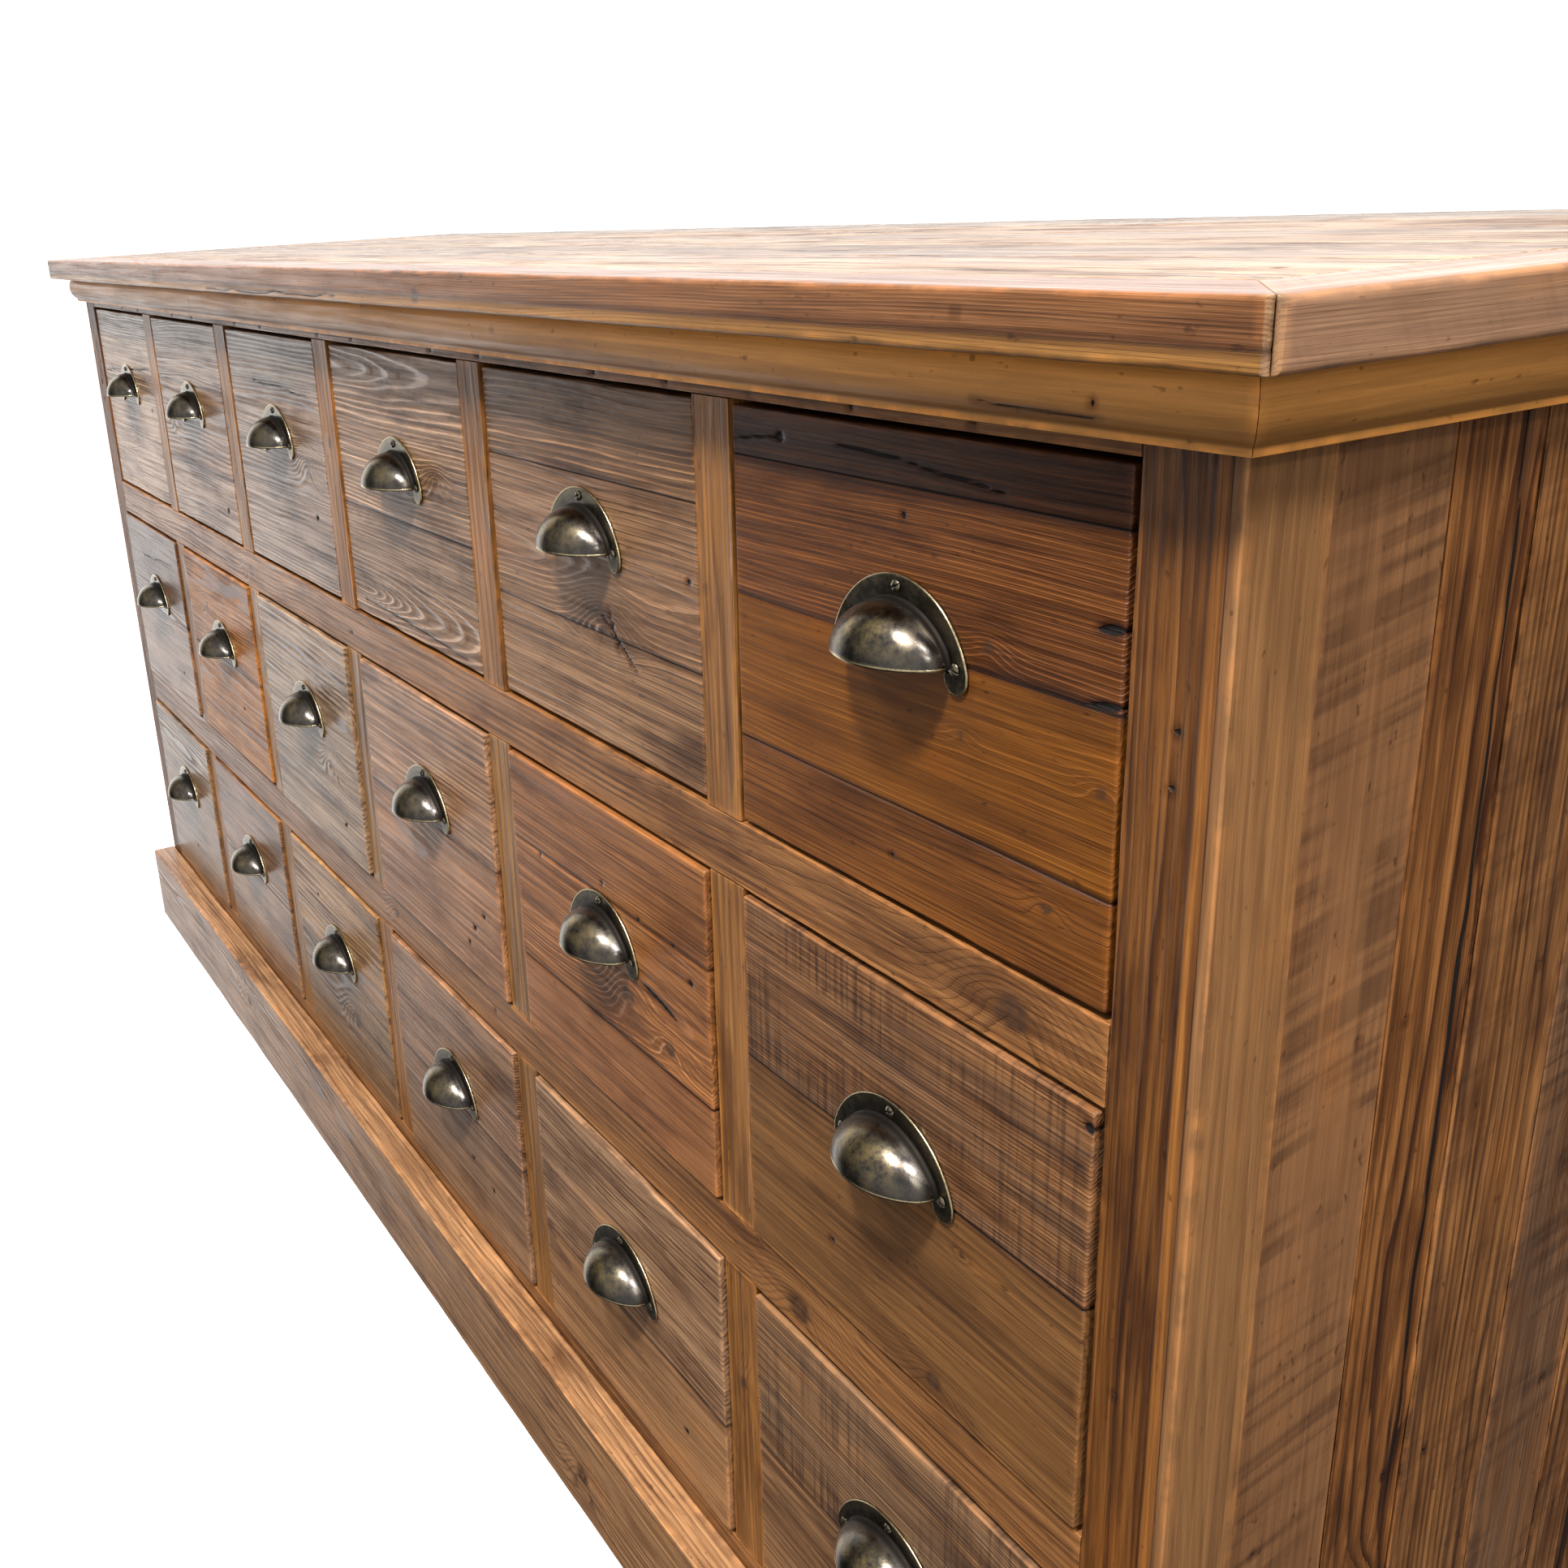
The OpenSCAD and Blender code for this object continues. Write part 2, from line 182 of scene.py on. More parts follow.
def board(low, high, grain, planks, seed, face=None, step=(3.5, 1.6), ease=1.5, knots=(), cracks=(),
          holes=(), joint=0.35, end_ease=None, shape=None, thick_step=6.0):
    """A board from corner low to corner high, eased at its edges, with its grain along axis number grain.
    face is the number of the axis across the show face. planks are (share of the width, look).
    knots (u, v, radius), cracks ((u, v), (u, v), half width) and holes (u, v, radius) are in shares of the
    length and width, and in mm. end_ease is the easing of the board's two ends where it isn't the same.
    shape, if given, moves the finished vertices."""
    low, high = np.array(low, float), np.array(high, float)
    if face is None:
        face = int(np.argmin(high - low))
    width = 3 - grain - face
    steps = np.full(3, thick_step)
    steps[grain], steps[width] = step
    r = min(ease * MM, 0.45 * (high - low).min())
    eases = np.full(3, r)
    if end_ease is not None:
        eases[grain] = end_ease * MM
    verts, quads = box_skin(*(axis_stations(low[a], high[a], steps[a] * MM, eases[a]) for a in range(3)))
    local = verts - low
    u, v, n = local[:, grain], local[:, width], local[:, face]
    length, wide = high[grain] - low[grain], high[width] - low[width]
    grain_p = np.stack([u + seed * 0.731, v + seed * 0.317, n + seed * 0.113], 1)

    shares = np.array([s for s, _ in planks], float)
    ends = np.cumsum(shares) / shares.sum() * wide
    which = np.minimum(np.searchsorted(ends, v), len(planks) - 1)
    ring = np.zeros(len(u))
    tint = np.zeros((len(u), 3))
    style = np.zeros((len(u), 3))
    blade = np.zeros(len(u))
    relief = np.zeros(len(u))
    knot_mask = np.zeros(len(u))
    for i, (_, k) in enumerate(planks):
        m = which == i
        if not m.any():
            continue
        middle = ends[i] - shares[i] / shares.sum() * wide / 2
        sway = noise(grain_p[m] * [1, 0, 0], (7, 1, 1), seed + 31 * i)
        rise = noise(grain_p[m] * [1, 0, 0], (3.5, 1, 1), seed + 31 * i + 7)
        vc = middle + k["off"] + 0.004 * sway
        nc = -k["depth"] - k["tilt"] * (u[m] - length / 2) + 0.006 * rise
        far = np.hypot(v[m] - vc, n[m] - nc) / k["ring"]
        years = np.stack([far, far * 0, far * 0], 1)
        phase = far + 1.1 * noise(years, (0.31, 1, 1), seed + 2)
        phase += 0.8 * noise(grain_p[m], (7, 32, 20), seed + 3)
        phase += 0.22 * noise(grain_p[m], (26, 150, 60), seed + 5)
        ring[m] = phase + 100
        tone = 1 + 0.12 * noise(grain_p[m], (5, 16, 16), seed + 11)
        tint[m] = k["tint"] * tone[:, None]
        style[m] = (k["contrast"], k["saw"], k["grey"])
        blade[m] = (u[m] + k["slant"] * v[m]) / k["pitch"]
        relief[m] = k["relief"]
    for ku, kv, kr in knots:
        ku, kv, kr = ku * length, kv * wide, kr * MM
        far = np.hypot((u - ku) / 1.7, v - kv)
        ring += 2.2 * kr / (3 * MM) * np.exp(-(far / (2.4 * kr)) ** 2)
        knot_mask = np.maximum(knot_mask, smooth(np.hypot((u - ku) / 1.15, v - kv), 1.15 * kr, 0.75 * kr))
    gap = np.full(len(u), 9.0)
    for (cu0, cv0), (cu1, cv1), half in cracks:
        bend = 0.0016 * noise(grain_p, (35, 12, 1), seed + 17)
        d, t = segment_distance(u, v + bend, ((cu0 * length, cv0 * wide), (cu1 * length, cv1 * wide)))
        gap = np.minimum(gap, d / MM - half * np.sqrt(np.clip(np.sin(np.pi * np.clip(t, 0.02, 0.98)), 0, 1)))
    for hu, hv, hr in holes:
        gap = np.minimum(gap, np.hypot(u - hu * length, (v - hv * wide)) / MM - hr)
    for e in ends[:-1]:
        gap = np.minimum(gap, np.abs(v - e) / MM - joint)

    # round the edges by an uneven radius, then wear the grain back
    radius = eases * np.clip(0.85 + 0.35 * noise(verts, (28, 28, 28), seed + 21), 0.3, 1)[:, None]
    core = np.clip(verts, low + radius, high - radius)
    out = (verts - core) / radius
    unit = out / np.maximum(np.linalg.norm(out, axis=1), 1e-9)[:, None]
    out *= r
    edge = (np.sort(np.abs(out), axis=1)[:, 1] / r)
    near = np.sort(np.minimum(verts - low, high - verts), axis=1)[:, 1] / MM
    wear = smooth(near + 1.2 * noise(verts, (60, 60, 60), seed + 23), 3.6, 0.4)
    frac = ring % 1
    late = smooth(frac, 0.35, 0.85) * (1 - smooth(frac, 0.93, 1.0))
    sunk = relief * (1 - late) + 0.12 * MM * (1 + noise(grain_p, (12, 40, 40), seed + 27)) * (edge < 0.2)
    sunk += 0.9 * MM * smooth(gap, 0.7, -0.2)
    verts = core + unit * radius - unit * sunk[:, None]
    verts = np.clip(verts, low, high)
    if shape:
        verts = shape(verts)
    return dict(verts=verts, quads=quads, ring=ring, grain=grain_p, marks=np.stack([gap, knot_mask, wear], 1),
                style=style, tint=tint, blade=blade)


def build(name, boards, body, slot, *nodes):
    """One piece made of several boards, in the wood of the slot's name."""
    starts = np.cumsum([0] + [len(b["verts"]) for b in boards[:-1]])
    quads = np.concatenate([b["quads"] + start for b, start in zip(boards, starts)])
    joined = {key: np.concatenate([b[key] for b in boards]) for key in boards[0] if key != "quads"}
    mesh = new_mesh(name, joined["verts"], quads, WOOD[slot])
    put_float(mesh, "ring", joined["ring"])
    put_float(mesh, "blade", joined["blade"])
    for key in ("grain", "marks", "style"):
        put_vector(mesh, key, joined[key])
    put_colour(mesh, "tint", joined["tint"])
    return add_piece(name, mesh, body, slot, *nodes)


# ---------- node helpers ----------

class Nodes:
    """A short way to write a material's nodes."""

    def __init__(self, name):
        self.material = bpy.data.materials.new(name)
        self.material.use_nodes = True
        self.tree = self.material.node_tree
        self.shader = self.tree.nodes["Principled BSDF"]
        self.place = 0

    def link(self, value, socket):
        if isinstance(value, bpy.types.NodeSocket):
            self.tree.links.new(value, socket)
        elif hasattr(socket.default_value, "__len__") and not hasattr(value, "__len__"):
            socket.default_value = [value] * len(socket.default_value)
        else:
            socket.default_value = value

    def node(self, kind, **settings):
        n = self.tree.nodes.new(kind)
        self.place += 1
        n.location = (-220 * (self.place % 12) - 300, -260 * (self.place // 12))
        for key, value in settings.items():
            setattr(n, key, value)
        return n

    def attribute(self, name, out="Vector"):
        return self.node("ShaderNodeAttribute", attribute_name=name).outputs[out]

    def math(self, op, a, b=0.0, clamp=False):
        n = self.node("ShaderNodeMath", operation=op, use_clamp=clamp)
        self.link(a, n.inputs[0])
        self.link(b, n.inputs[1])
        return n.outputs[0]

    def step(self, x, low, high, to_low=0.0, to_high=1.0):
        n = self.node("ShaderNodeMapRange", interpolation_type="SMOOTHSTEP")
        for value, i in ((x, 0), (low, 1), (high, 2), (to_low, 3), (to_high, 4)):
            self.link(value, n.inputs[i])
        return n.outputs[0]

    def scaled(self, vector, by):
        n = self.node("ShaderNodeVectorMath", operation="MULTIPLY")
        self.link(vector, n.inputs[0])
        self.link(by, n.inputs[1])
        return n.outputs[0]

    def split(self, vector):
        n = self.node("ShaderNodeSeparateXYZ")
        self.link(vector, n.inputs[0])
        return n.outputs

    def join(self, x, y, z):
        n = self.node("ShaderNodeCombineXYZ")
        for value, socket in zip((x, y, z), n.inputs):
            self.link(value, socket)
        return n.outputs[0]

    def noise(self, vector, by=(1, 1, 1), detail=2.0, rough=0.5):
        n = self.node("ShaderNodeTexNoise")
        self.link(self.scaled(vector, by), n.inputs["Vector"])
        n.inputs["Scale"].default_value = 1.0
        n.inputs["Detail"].default_value = detail
        n.inputs["Roughness"].default_value = rough
        return n.outputs["Fac"]

    def mix(self, factor, a, b, how="MIX"):
        n = self.node("ShaderNodeMix", data_type="RGBA", blend_type=how, clamp_result=False)
        for value, socket in ((factor, n.inputs[0]), (a, n.inputs[6]), (b, n.inputs[7])):
            if socket.type == "RGBA" and not isinstance(value, bpy.types.NodeSocket):
                value = (*value, 1.0)
            self.link(value, socket)
        return n.outputs[2]

    def toned(self, factor, colour, tone):
        """The colour, multiplied by a tone where the factor is 1."""
        return self.mix(factor, colour, self.mix(1.0, colour, tone, "MULTIPLY"))

    def bump(self, height, distance):
        n = self.node("ShaderNodeBump")
        n.inputs["Strength"].default_value = 1.0
        n.inputs["Distance"].default_value = distance
        self.link(height, n.inputs["Height"])
        self.link(n.outputs[0], self.shader.inputs["Normal"])

    def set(self, **values):
        for key, value in values.items():
            self.link(value, self.shader.inputs[key.replace("_", " ")])


# ---------- wood ----------

def wood_material(name, gloss=0.45, bump=0.7, coat=0.45):
    """Reclaimed pine for the boards made above: rings, fibres, saw marks, knots, cracks and worn edges."""
    w = Nodes(name)
    grain = w.attribute("grain")
    tint = w.attribute("tint", "Color")
    gap, knot, wear = w.split(w.attribute("marks"))[:3]
    contrast, saw, grey = w.split(w.attribute("style"))[:3]
    fibre = w.noise(grain, (24, 1100, 1100), 3, 0.65)
    streak = w.noise(grain, (7, 300, 300), 4, 0.65)
    patch = w.noise(grain, (9, 30, 30), 4, 0.6)
    speck = w.noise(grain, (130, 260, 260), 2, 0.5)

    # growth rings, each with its own strength
    phase = w.math("ADD", w.attribute("ring", "Fac"), w.math("MULTIPLY", streak, 0.5))
    part = w.math("FRACT", phase)
    year = w.node("ShaderNodeTexWhiteNoise", noise_dimensions="1D")
    w.link(w.math("FLOOR", phase), year.inputs["W"])
    begin = w.step(contrast, -0.01, 0.01, 0.60, 0.30)
    late = w.math("MULTIPLY", w.step(part, begin, 0.88), w.step(part, 1.0, 0.94))
    depth = w.math("ABSOLUTE", contrast)
    strength = w.math("MULTIPLY", depth, w.step(year.outputs["Value"], 0.0, 1.0, 0.45, 1.15))
    strength = w.math("MULTIPLY", strength, w.step(patch, 0.25, 0.55, 0.6, 1.0))
    dark = w.math("MULTIPLY", late, strength, True)

    coarse = w.step(depth, 0.10, 0.60, 0.30, 1.0)
    streaky = w.mix(w.step(streak, 0.30, 0.70), w.mix(1.0, tint, (0.50, 0.41, 0.34), "MULTIPLY"),
                    w.mix(1.0, tint, (1.50, 1.42, 1.20), "MULTIPLY"))
    colour = w.mix(coarse, tint, streaky)
    # dark rings darken the colour; pale rings (strength below 0) lighten it towards white, a painted sheen on
    # the raised rings
    ring_tone_and_painted_sheen = w.mix(w.step(contrast, -0.01, 0.01), (2.1, 2.15, 2.2), (0.33, 0.25, 0.20))
    colour = w.toned(dark, colour, ring_tone_and_painted_sheen)
    fine = w.math("MULTIPLY", coarse, w.step(fibre, 0.20, 0.62, 0.85, 0.0))
    colour = w.toned(fine, colour, (0.50, 0.42, 0.36))
    smudge = w.math("MULTIPLY", coarse, w.step(patch, 0.48, 0.70, 0.0, 0.85))
    colour = w.toned(smudge, colour, (0.42, 0.34, 0.28))
    colour = w.toned(w.step(patch, 0.44, 0.26, 0.0, 0.6), colour, (1.35, 1.18, 0.95))
    colour = w.toned(w.step(speck, 0.66, 0.76, 0.0, 0.7), colour, (0.35, 0.28, 0.25))
    silver = w.math("MULTIPLY", grey, w.step(w.noise(grain, (6, 40, 40), 4, 0.65), 0.42, 0.62))
    colour = w.mix(silver, colour, w.mix(w.step(fibre, 0.3, 0.7), (0.060, 0.046, 0.036), (0.17, 0.125, 0.09)))

    # marks of the saw, worn off in places
    v, n = w.split(grain)[1:3]
    teeth = w.noise(w.join(w.attribute("blade", "Fac"), v, n), (1, 6, 6), 2, 0.5)
    left = w.step(w.noise(grain, (11, 22, 22), 3, 0.55), 0.36, 0.58)
    scar = w.math("MULTIPLY", w.math("MULTIPLY", w.step(teeth, 0.42, 0.68), saw), left, True)
    colour = w.toned(w.math("MULTIPLY", scar, 0.8), colour, (0.28, 0.23, 0.20))

    knot_rings = w.noise(grain, (240, 240, 240), 2, 0.5)
    knot = w.math("MULTIPLY", knot, w.step(knot_rings, 0.3, 0.7, 0.6, 1.0))
    colour = w.mix(knot, colour, (0.050, 0.022, 0.010))
    worn_edge = w.math("MULTIPLY", wear, w.step(w.noise(grain, (60, 60, 60), 3, 0.6), 0.35, 0.65))
    bare = w.mix(1.0, tint, (1.9, 1.6, 1.2), "MULTIPLY")
    colour = w.mix(w.math("MULTIPLY", worn_edge, 0.55), colour, bare)
    stain = w.step(w.math("ADD", gap, w.math("MULTIPLY", streak, 2.0)), 4.6, 1.2, 0.0, 0.7)
    colour = w.toned(stain, colour, (0.40, 0.32, 0.28))
    hole = w.step(w.math("ADD", gap, w.math("MULTIPLY", fibre, 0.5)), 0.70, 0.15)
    colour = w.mix(hole, colour, (0.006, 0.004, 0.003))

    rough = w.math("ADD", gloss, w.math("MULTIPLY", w.math("SUBTRACT", fibre, 0.5), 0.5))
    rough = w.math("ADD", rough, w.math("MULTIPLY", w.math("SUBTRACT", patch, 0.5), 0.35))
    rough = w.math("ADD", rough, w.math("MULTIPLY", w.math("MAXIMUM", hole, scar), 0.3), True)
    height = w.math("ADD", dark, w.math("MULTIPLY", fibre, 0.55))
    height = w.math("ADD", height, w.math("MULTIPLY", streak, 0.8))
    height = w.math("SUBTRACT", height, w.math("MULTIPLY", scar, 0.3))
    height = w.math("SUBTRACT", height, w.math("MULTIPLY", hole, 2.0))
    w.bump(w.math("MULTIPLY", height, coarse), bump * MM)
    ridge = w.math("ADD", w.math("MULTIPLY", dark, 1.2), w.math("MULTIPLY", streak, 1.2))
    red, blue = w.split(tint)[0], w.split(tint)[2]
    shine = w.step(ridge, 0.40, 1.20, 0.25 * coat, 1.6 * coat)
    shine = w.math("MULTIPLY", shine, w.step(w.math("DIVIDE", blue, red), 0.06, 0.13, 0.4, 1.0))
    w.set(Base_Color=colour, Roughness=rough, Coat_Weight=shine, Coat_Roughness=0.20, Specular_IOR_Level=0.25)
    return w.material


def plain_pine(name):
    """Unfinished pine for the CAD pieces inside the case, whose grain follows the object's own axes."""
    w = Nodes(name)
    where = w.node("ShaderNodeTexCoord").outputs["Object"]
    bend = w.noise(where, (3, 9, 9), 3, 0.5)
    x, y, z = w.split(where)[:3]
    across = w.math("ADD", z, w.math("MULTIPLY", bend, 0.06))
    line = w.noise(w.join(x, y, across), (6, 4, 330), 3, 0.6)
    fibre = w.noise(where, (60, 40, 900), 2, 0.6)
    colour = w.mix(w.step(line, 0.38, 0.66), (0.56, 0.40, 0.235), (0.40, 0.25, 0.125))
    colour = w.mix(w.step(fibre, 0.3, 0.7, 0.35, 0.0), colour, (0.30, 0.19, 0.10))
    w.bump(w.math("ADD", line, fibre), 0.25 * MM)
    w.set(Base_Color=colour, Roughness=w.step(fibre, 0.2, 0.8, 0.55, 0.8))
    return w.material


def brass_material(name):
    """Old pressed brass: nearly black patina, brassy patches on the domes, bright worn rims."""
    w = Nodes(name)
    where = w.attribute("grain")
    rim, dome, darkened = w.split(w.attribute("wear"))[:3]
    blotch = w.noise(where, (130, 130, 130), 4, 0.65)
    speck = w.noise(where, (520, 520, 520), 3, 0.65)
    fine = w.noise(where, (2400, 2400, 2400), 2, 0.5)
    colour = w.mix(w.step(blotch, 0.30, 0.75), (0.060, 0.056, 0.055), (0.120, 0.106, 0.092))
    mottle = w.math("ADD", blotch, w.math("MULTIPLY", speck, 0.6))
    rubbed = w.math("MULTIPLY", dome, w.step(mottle, 0.50, 1.20), True)
    colour = w.mix(rubbed, colour, (0.40, 0.285, 0.110))
    colour = w.mix(w.step(speck, 0.52, 0.74, 0.0, 0.5), colour, (0.050, 0.043, 0.035))
    worn = w.math("MULTIPLY", rim, w.step(speck, 0.22, 0.58, 0.4, 1.0), True)
    colour = w.mix(worn, colour, (0.56, 0.45, 0.26))
    # darker and rougher where this mask is set: the cup's flare into the plate, the inside of the cup and the
    # screw slots
    colour = w.mix(darkened, colour, (0.022, 0.018, 0.015))
    rough = w.math("ADD", w.step(blotch, 0.3, 0.7, 0.15, 0.25), w.math("MULTIPLY", fine, 0.08))
    rough = w.math("ADD", rough, w.math("MULTIPLY", darkened, 0.4))
    w.bump(w.math("ADD", w.math("MULTIPLY", speck, 0.8), fine), 0.03 * MM)
    w.set(Base_Color=colour, Roughness=rough, Metallic=1.0)
    return w.material


# ---------- the case ----------

WOOD = {slot: wood_material(slot, coat=coat) for slot, coat in
        (("top_wood", 0.2), ("edge_wood", 0.55), ("honey_wood", 0.45), ("frame_wood", 0.40),
         ("weathered_wood", 0.25), ("drawer_wood", 0.5), ("raw_wood", 0.05))}
RAW = plain_pine("inner_pine")
BRASS = brass_material("aged_brass")

HONEY = (0.235, 0.108, 0.030)
BROWN = (0.22, 0.102, 0.038)
PALE = (0.28, 0.215, 0.18)
PINE = (0.50, 0.34, 0.19)


def corners(node):
    low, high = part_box(node)
    return np.array(low), np.array(high)


def straight(tint, ring=2.6, contrast=0.5, off=70, **more):
    return look(tint, ring=ring, contrast=contrast, off=off, depth=20, **more)


def shades(tint, seed, count, spread=0.14):
    """Slightly different tints of one wood, for the boards of one face."""
    out = []
    for i in range(count):
        k = lattice_value(np.array([[i, seed, 5], [i, seed, 9]]), seed)
        warm = 1 + spread * (k[1] - 0.5)
        out.append(np.array(tint) * (1 + 2 * spread * (k[0] - 0.5)) * [warm, 1, 2 - warm])
    return out


def split_boards(node, axis, shares, gap):
    """Corners of the separate boards that fill a node's box, side by side along an axis."""
    low, high = corners(node)
    ends = low[axis] + (high[axis] + gap - low[axis]) * np.cumsum([0] + shares) / sum(shares)
    for i in range(len(shares)):
        a, b = low.copy(), high.copy()
        a[axis], b[axis] = ends[i], ends[i + 1] - gap
        yield a, b


def end_grain(one, at_flat):
    """Gives the chosen vertices of a board the colour and dirt of the corner's cut end grain."""
    one["tint"][at_flat] = (0.20, 0.115, 0.060)
    one["marks"][at_flat, 0] = np.minimum(one["marks"][at_flat, 0], 4)


def worktop():
    boards = []
    tints = shades(PALE, 3, 5)
    for i, (low, high) in enumerate(split_boards("worktop_planks", 1, [21, 18, 22, 19, 20], PLANK_SEAM)):
        k = look(tints[i], ring=(3.4, 2.6, 4.2, 2.8, 3.6)[i], depth=(30, 60, 25, 70, 40)[i],
                 off=(10, -40, 20, 60, -15)[i], tilt=0.01 * (i - 2), contrast=0.75, relief=0.3)
        boards.append(board(low, high, 0, [(1, k)], 40 + i, face=2, step=(5, 2), ease=1.2,
                            cracks=[((0.55, 0.45), (0.80, 0.40), 0.7)] if i in (1, 3) else [],
                            knots=[(0.3 + 0.11 * i, 0.5, 9)], holes=[(0.02, 0.5, 2), (0.98, 0.5, 2)]))
    build("worktop_boards", boards, CARCASS, "top_wood", "worktop_planks")

    low, high = corners("worktop_front_edge")
    def front_mitre(v):
        v[:, 0] *= (high[0] - np.abs(v[:, 1] - low[1] - HALF_FLAT)) / high[0]
        return v

    k = [(7, straight((0.26, 0.125, 0.035), ring=1.8, off=90, contrast=0.2, relief=0.03)),
         (15, straight((0.185, 0.080, 0.032), ring=1.4, off=-80, contrast=0.28, relief=0.05))]
    front = board(low, high, 0, k, 51, face=1, step=(4, 1.2), ease=2.8, end_ease=0.3, shape=front_mitre,
                  knots=[(0.30, 0.5, 6), (0.66, 0.35, 5)], cracks=[((0.40, 0.12), (0.58, 0.16), 0.4)],
                  holes=[(0.11, 0.4, 1.5), (0.93, 0.6, 1.3), (0.52, 0.3, 1.4)], joint=0.05, thick_step=1.2)
    end_grain(front, np.abs(front["verts"][:, 0]) > high[0] - HALF_FLAT)
    build("worktop_front_board", [front], CARCASS, "edge_wood", "worktop_front_edge")

    ends = []
    for side in (-1, 1):
        low, high = corners("worktop_end_edges")

        def end_mitre(v, side=side, low=low, high=high):
            e = high[0] - v[:, 0]
            start = low[1] + np.abs(e - HALF_FLAT)
            v[:, 1] = start + (v[:, 1] - low[1]) * (high[1] - start) / (high[1] - low[1])
            if side < 0:
                v[:, 0] *= -1
            return v

        a, b = np.array([high[0] - EDGE_W, low[1], low[2]]), high
        k = [(1, straight((0.26, 0.145, 0.087), ring=1.4, off=85 * side, contrast=0.15, saw=0.2, slant=0.6,
                          relief=0.03))]
        one = board(a, b, 1, k, 55 + side, face=0, step=(4, 1.2), ease=3.6, end_ease=0.3, shape=end_mitre,
                    cracks=[((0.52, 0.30), (0.75, 0.34), 0.4)], thick_step=2)
        end_grain(one, one["verts"][:, 1] < low[1] + HALF_FLAT)
        if side < 0:
            one["quads"] = one["quads"][:, ::-1]
        ends.append(one)
    build("worktop_end_boards", ends, CARCASS, "edge_wood", "worktop_end_edges")


def moulding_reach(z, foot_z):
    """How far the cornice stands out from the case at height z: a round bead above a small lip."""
    rise = (z - foot_z) / CORNICE_H
    bead = 4 + 10 * np.sqrt(np.clip(1 - ((rise - 0.58) / 0.50) ** 2, 0, 1))
    return np.where(rise < 0.09, 7.5, bead) * MM


def paint_moulding_shading(one, foot_z):
    """Paints light and shade into the tint by height: painted shade under the bead and just under the
    worktop's edge board, a painted highlight on the bead's upper part, and the lip left lighter than the
    bead's underside.
    """
    rise = (one["verts"][:, 2] - foot_z) / CORNICE_H
    heights = (0, 0.08, 0.12, 0.35, 0.60, 0.80, 0.92, 1)
    # tones by height: 0.45 is painted shade under the bead, up to 1.45 a painted highlight on its upper part,
    # 0.6 painted shade just under the edge board
    tone = np.interp(rise, heights, (0.95, 0.95, 0.45, 0.75, 1.2, 1.45, 1.2, 0.6))
    one["tint"] *= tone[:, None]


def cornice():
    low, high = corners("cornice_front")
    case_x, case_y = high[0] - CORNICE_OUT, high[1]

    def front_form(v):
        out = (case_y - v[:, 1]) * moulding_reach(v[:, 2], low[2]) / CORNICE_OUT
        v[:, 1] = case_y - out
        v[:, 0] *= (case_x + out) / high[0]
        return v

    k = [(1, straight((0.64, 0.29, 0.075), ring=4, contrast=0.12, off=-60, relief=0.05))]
    front = board(low, high, 0, k, 61, face=1, step=(5, 0.9), ease=0.5, end_ease=0.2, shape=front_form,
                  holes=[(0.963, 0.45, 1.1), (0.70, 0.6, 1.0), (0.32, 0.5, 1.2), (0.12, 0.5, 1.0)],
                  cracks=[((0.930, 0.30), (0.965, 0.25), 0.3)])
    # painted light and shade on the cornice, by height
    paint_moulding_shading(front, low[2])
    build("cornice_front_length", [front], CARCASS, "honey_wood", "cornice_front")

    ends = []
    e_low, e_high = corners("cornice_ends")
    for side in (-1, 1):
        a = np.array([case_x, low[1], low[2]])
        b = np.array([case_x + CORNICE_OUT, e_high[1], e_high[2]])

        def end_form(v, side=side, a=a, b=b):
            out = (v[:, 0] - case_x) * moulding_reach(v[:, 2], low[2]) / CORNICE_OUT
            start = case_y - out + SEAM
            v[:, 0] = case_x + out
            v[:, 1] = start + (v[:, 1] - a[1]) * (b[1] - start) / (b[1] - a[1])
            if side < 0:
                v[:, 0] *= -1
            return v

        one = board(a, b, 1, k, 63 + side, face=0, step=(5, 0.9), ease=0.5, end_ease=0.2, shape=end_form)
        if side < 0:
            one["quads"] = one["quads"][:, ::-1]
        # painted light and shade on the cornice, by height
        paint_moulding_shading(one, low[2])
        ends.append(one)
    build("cornice_end_lengths", ends, CARCASS, "honey_wood", "cornice_ends")


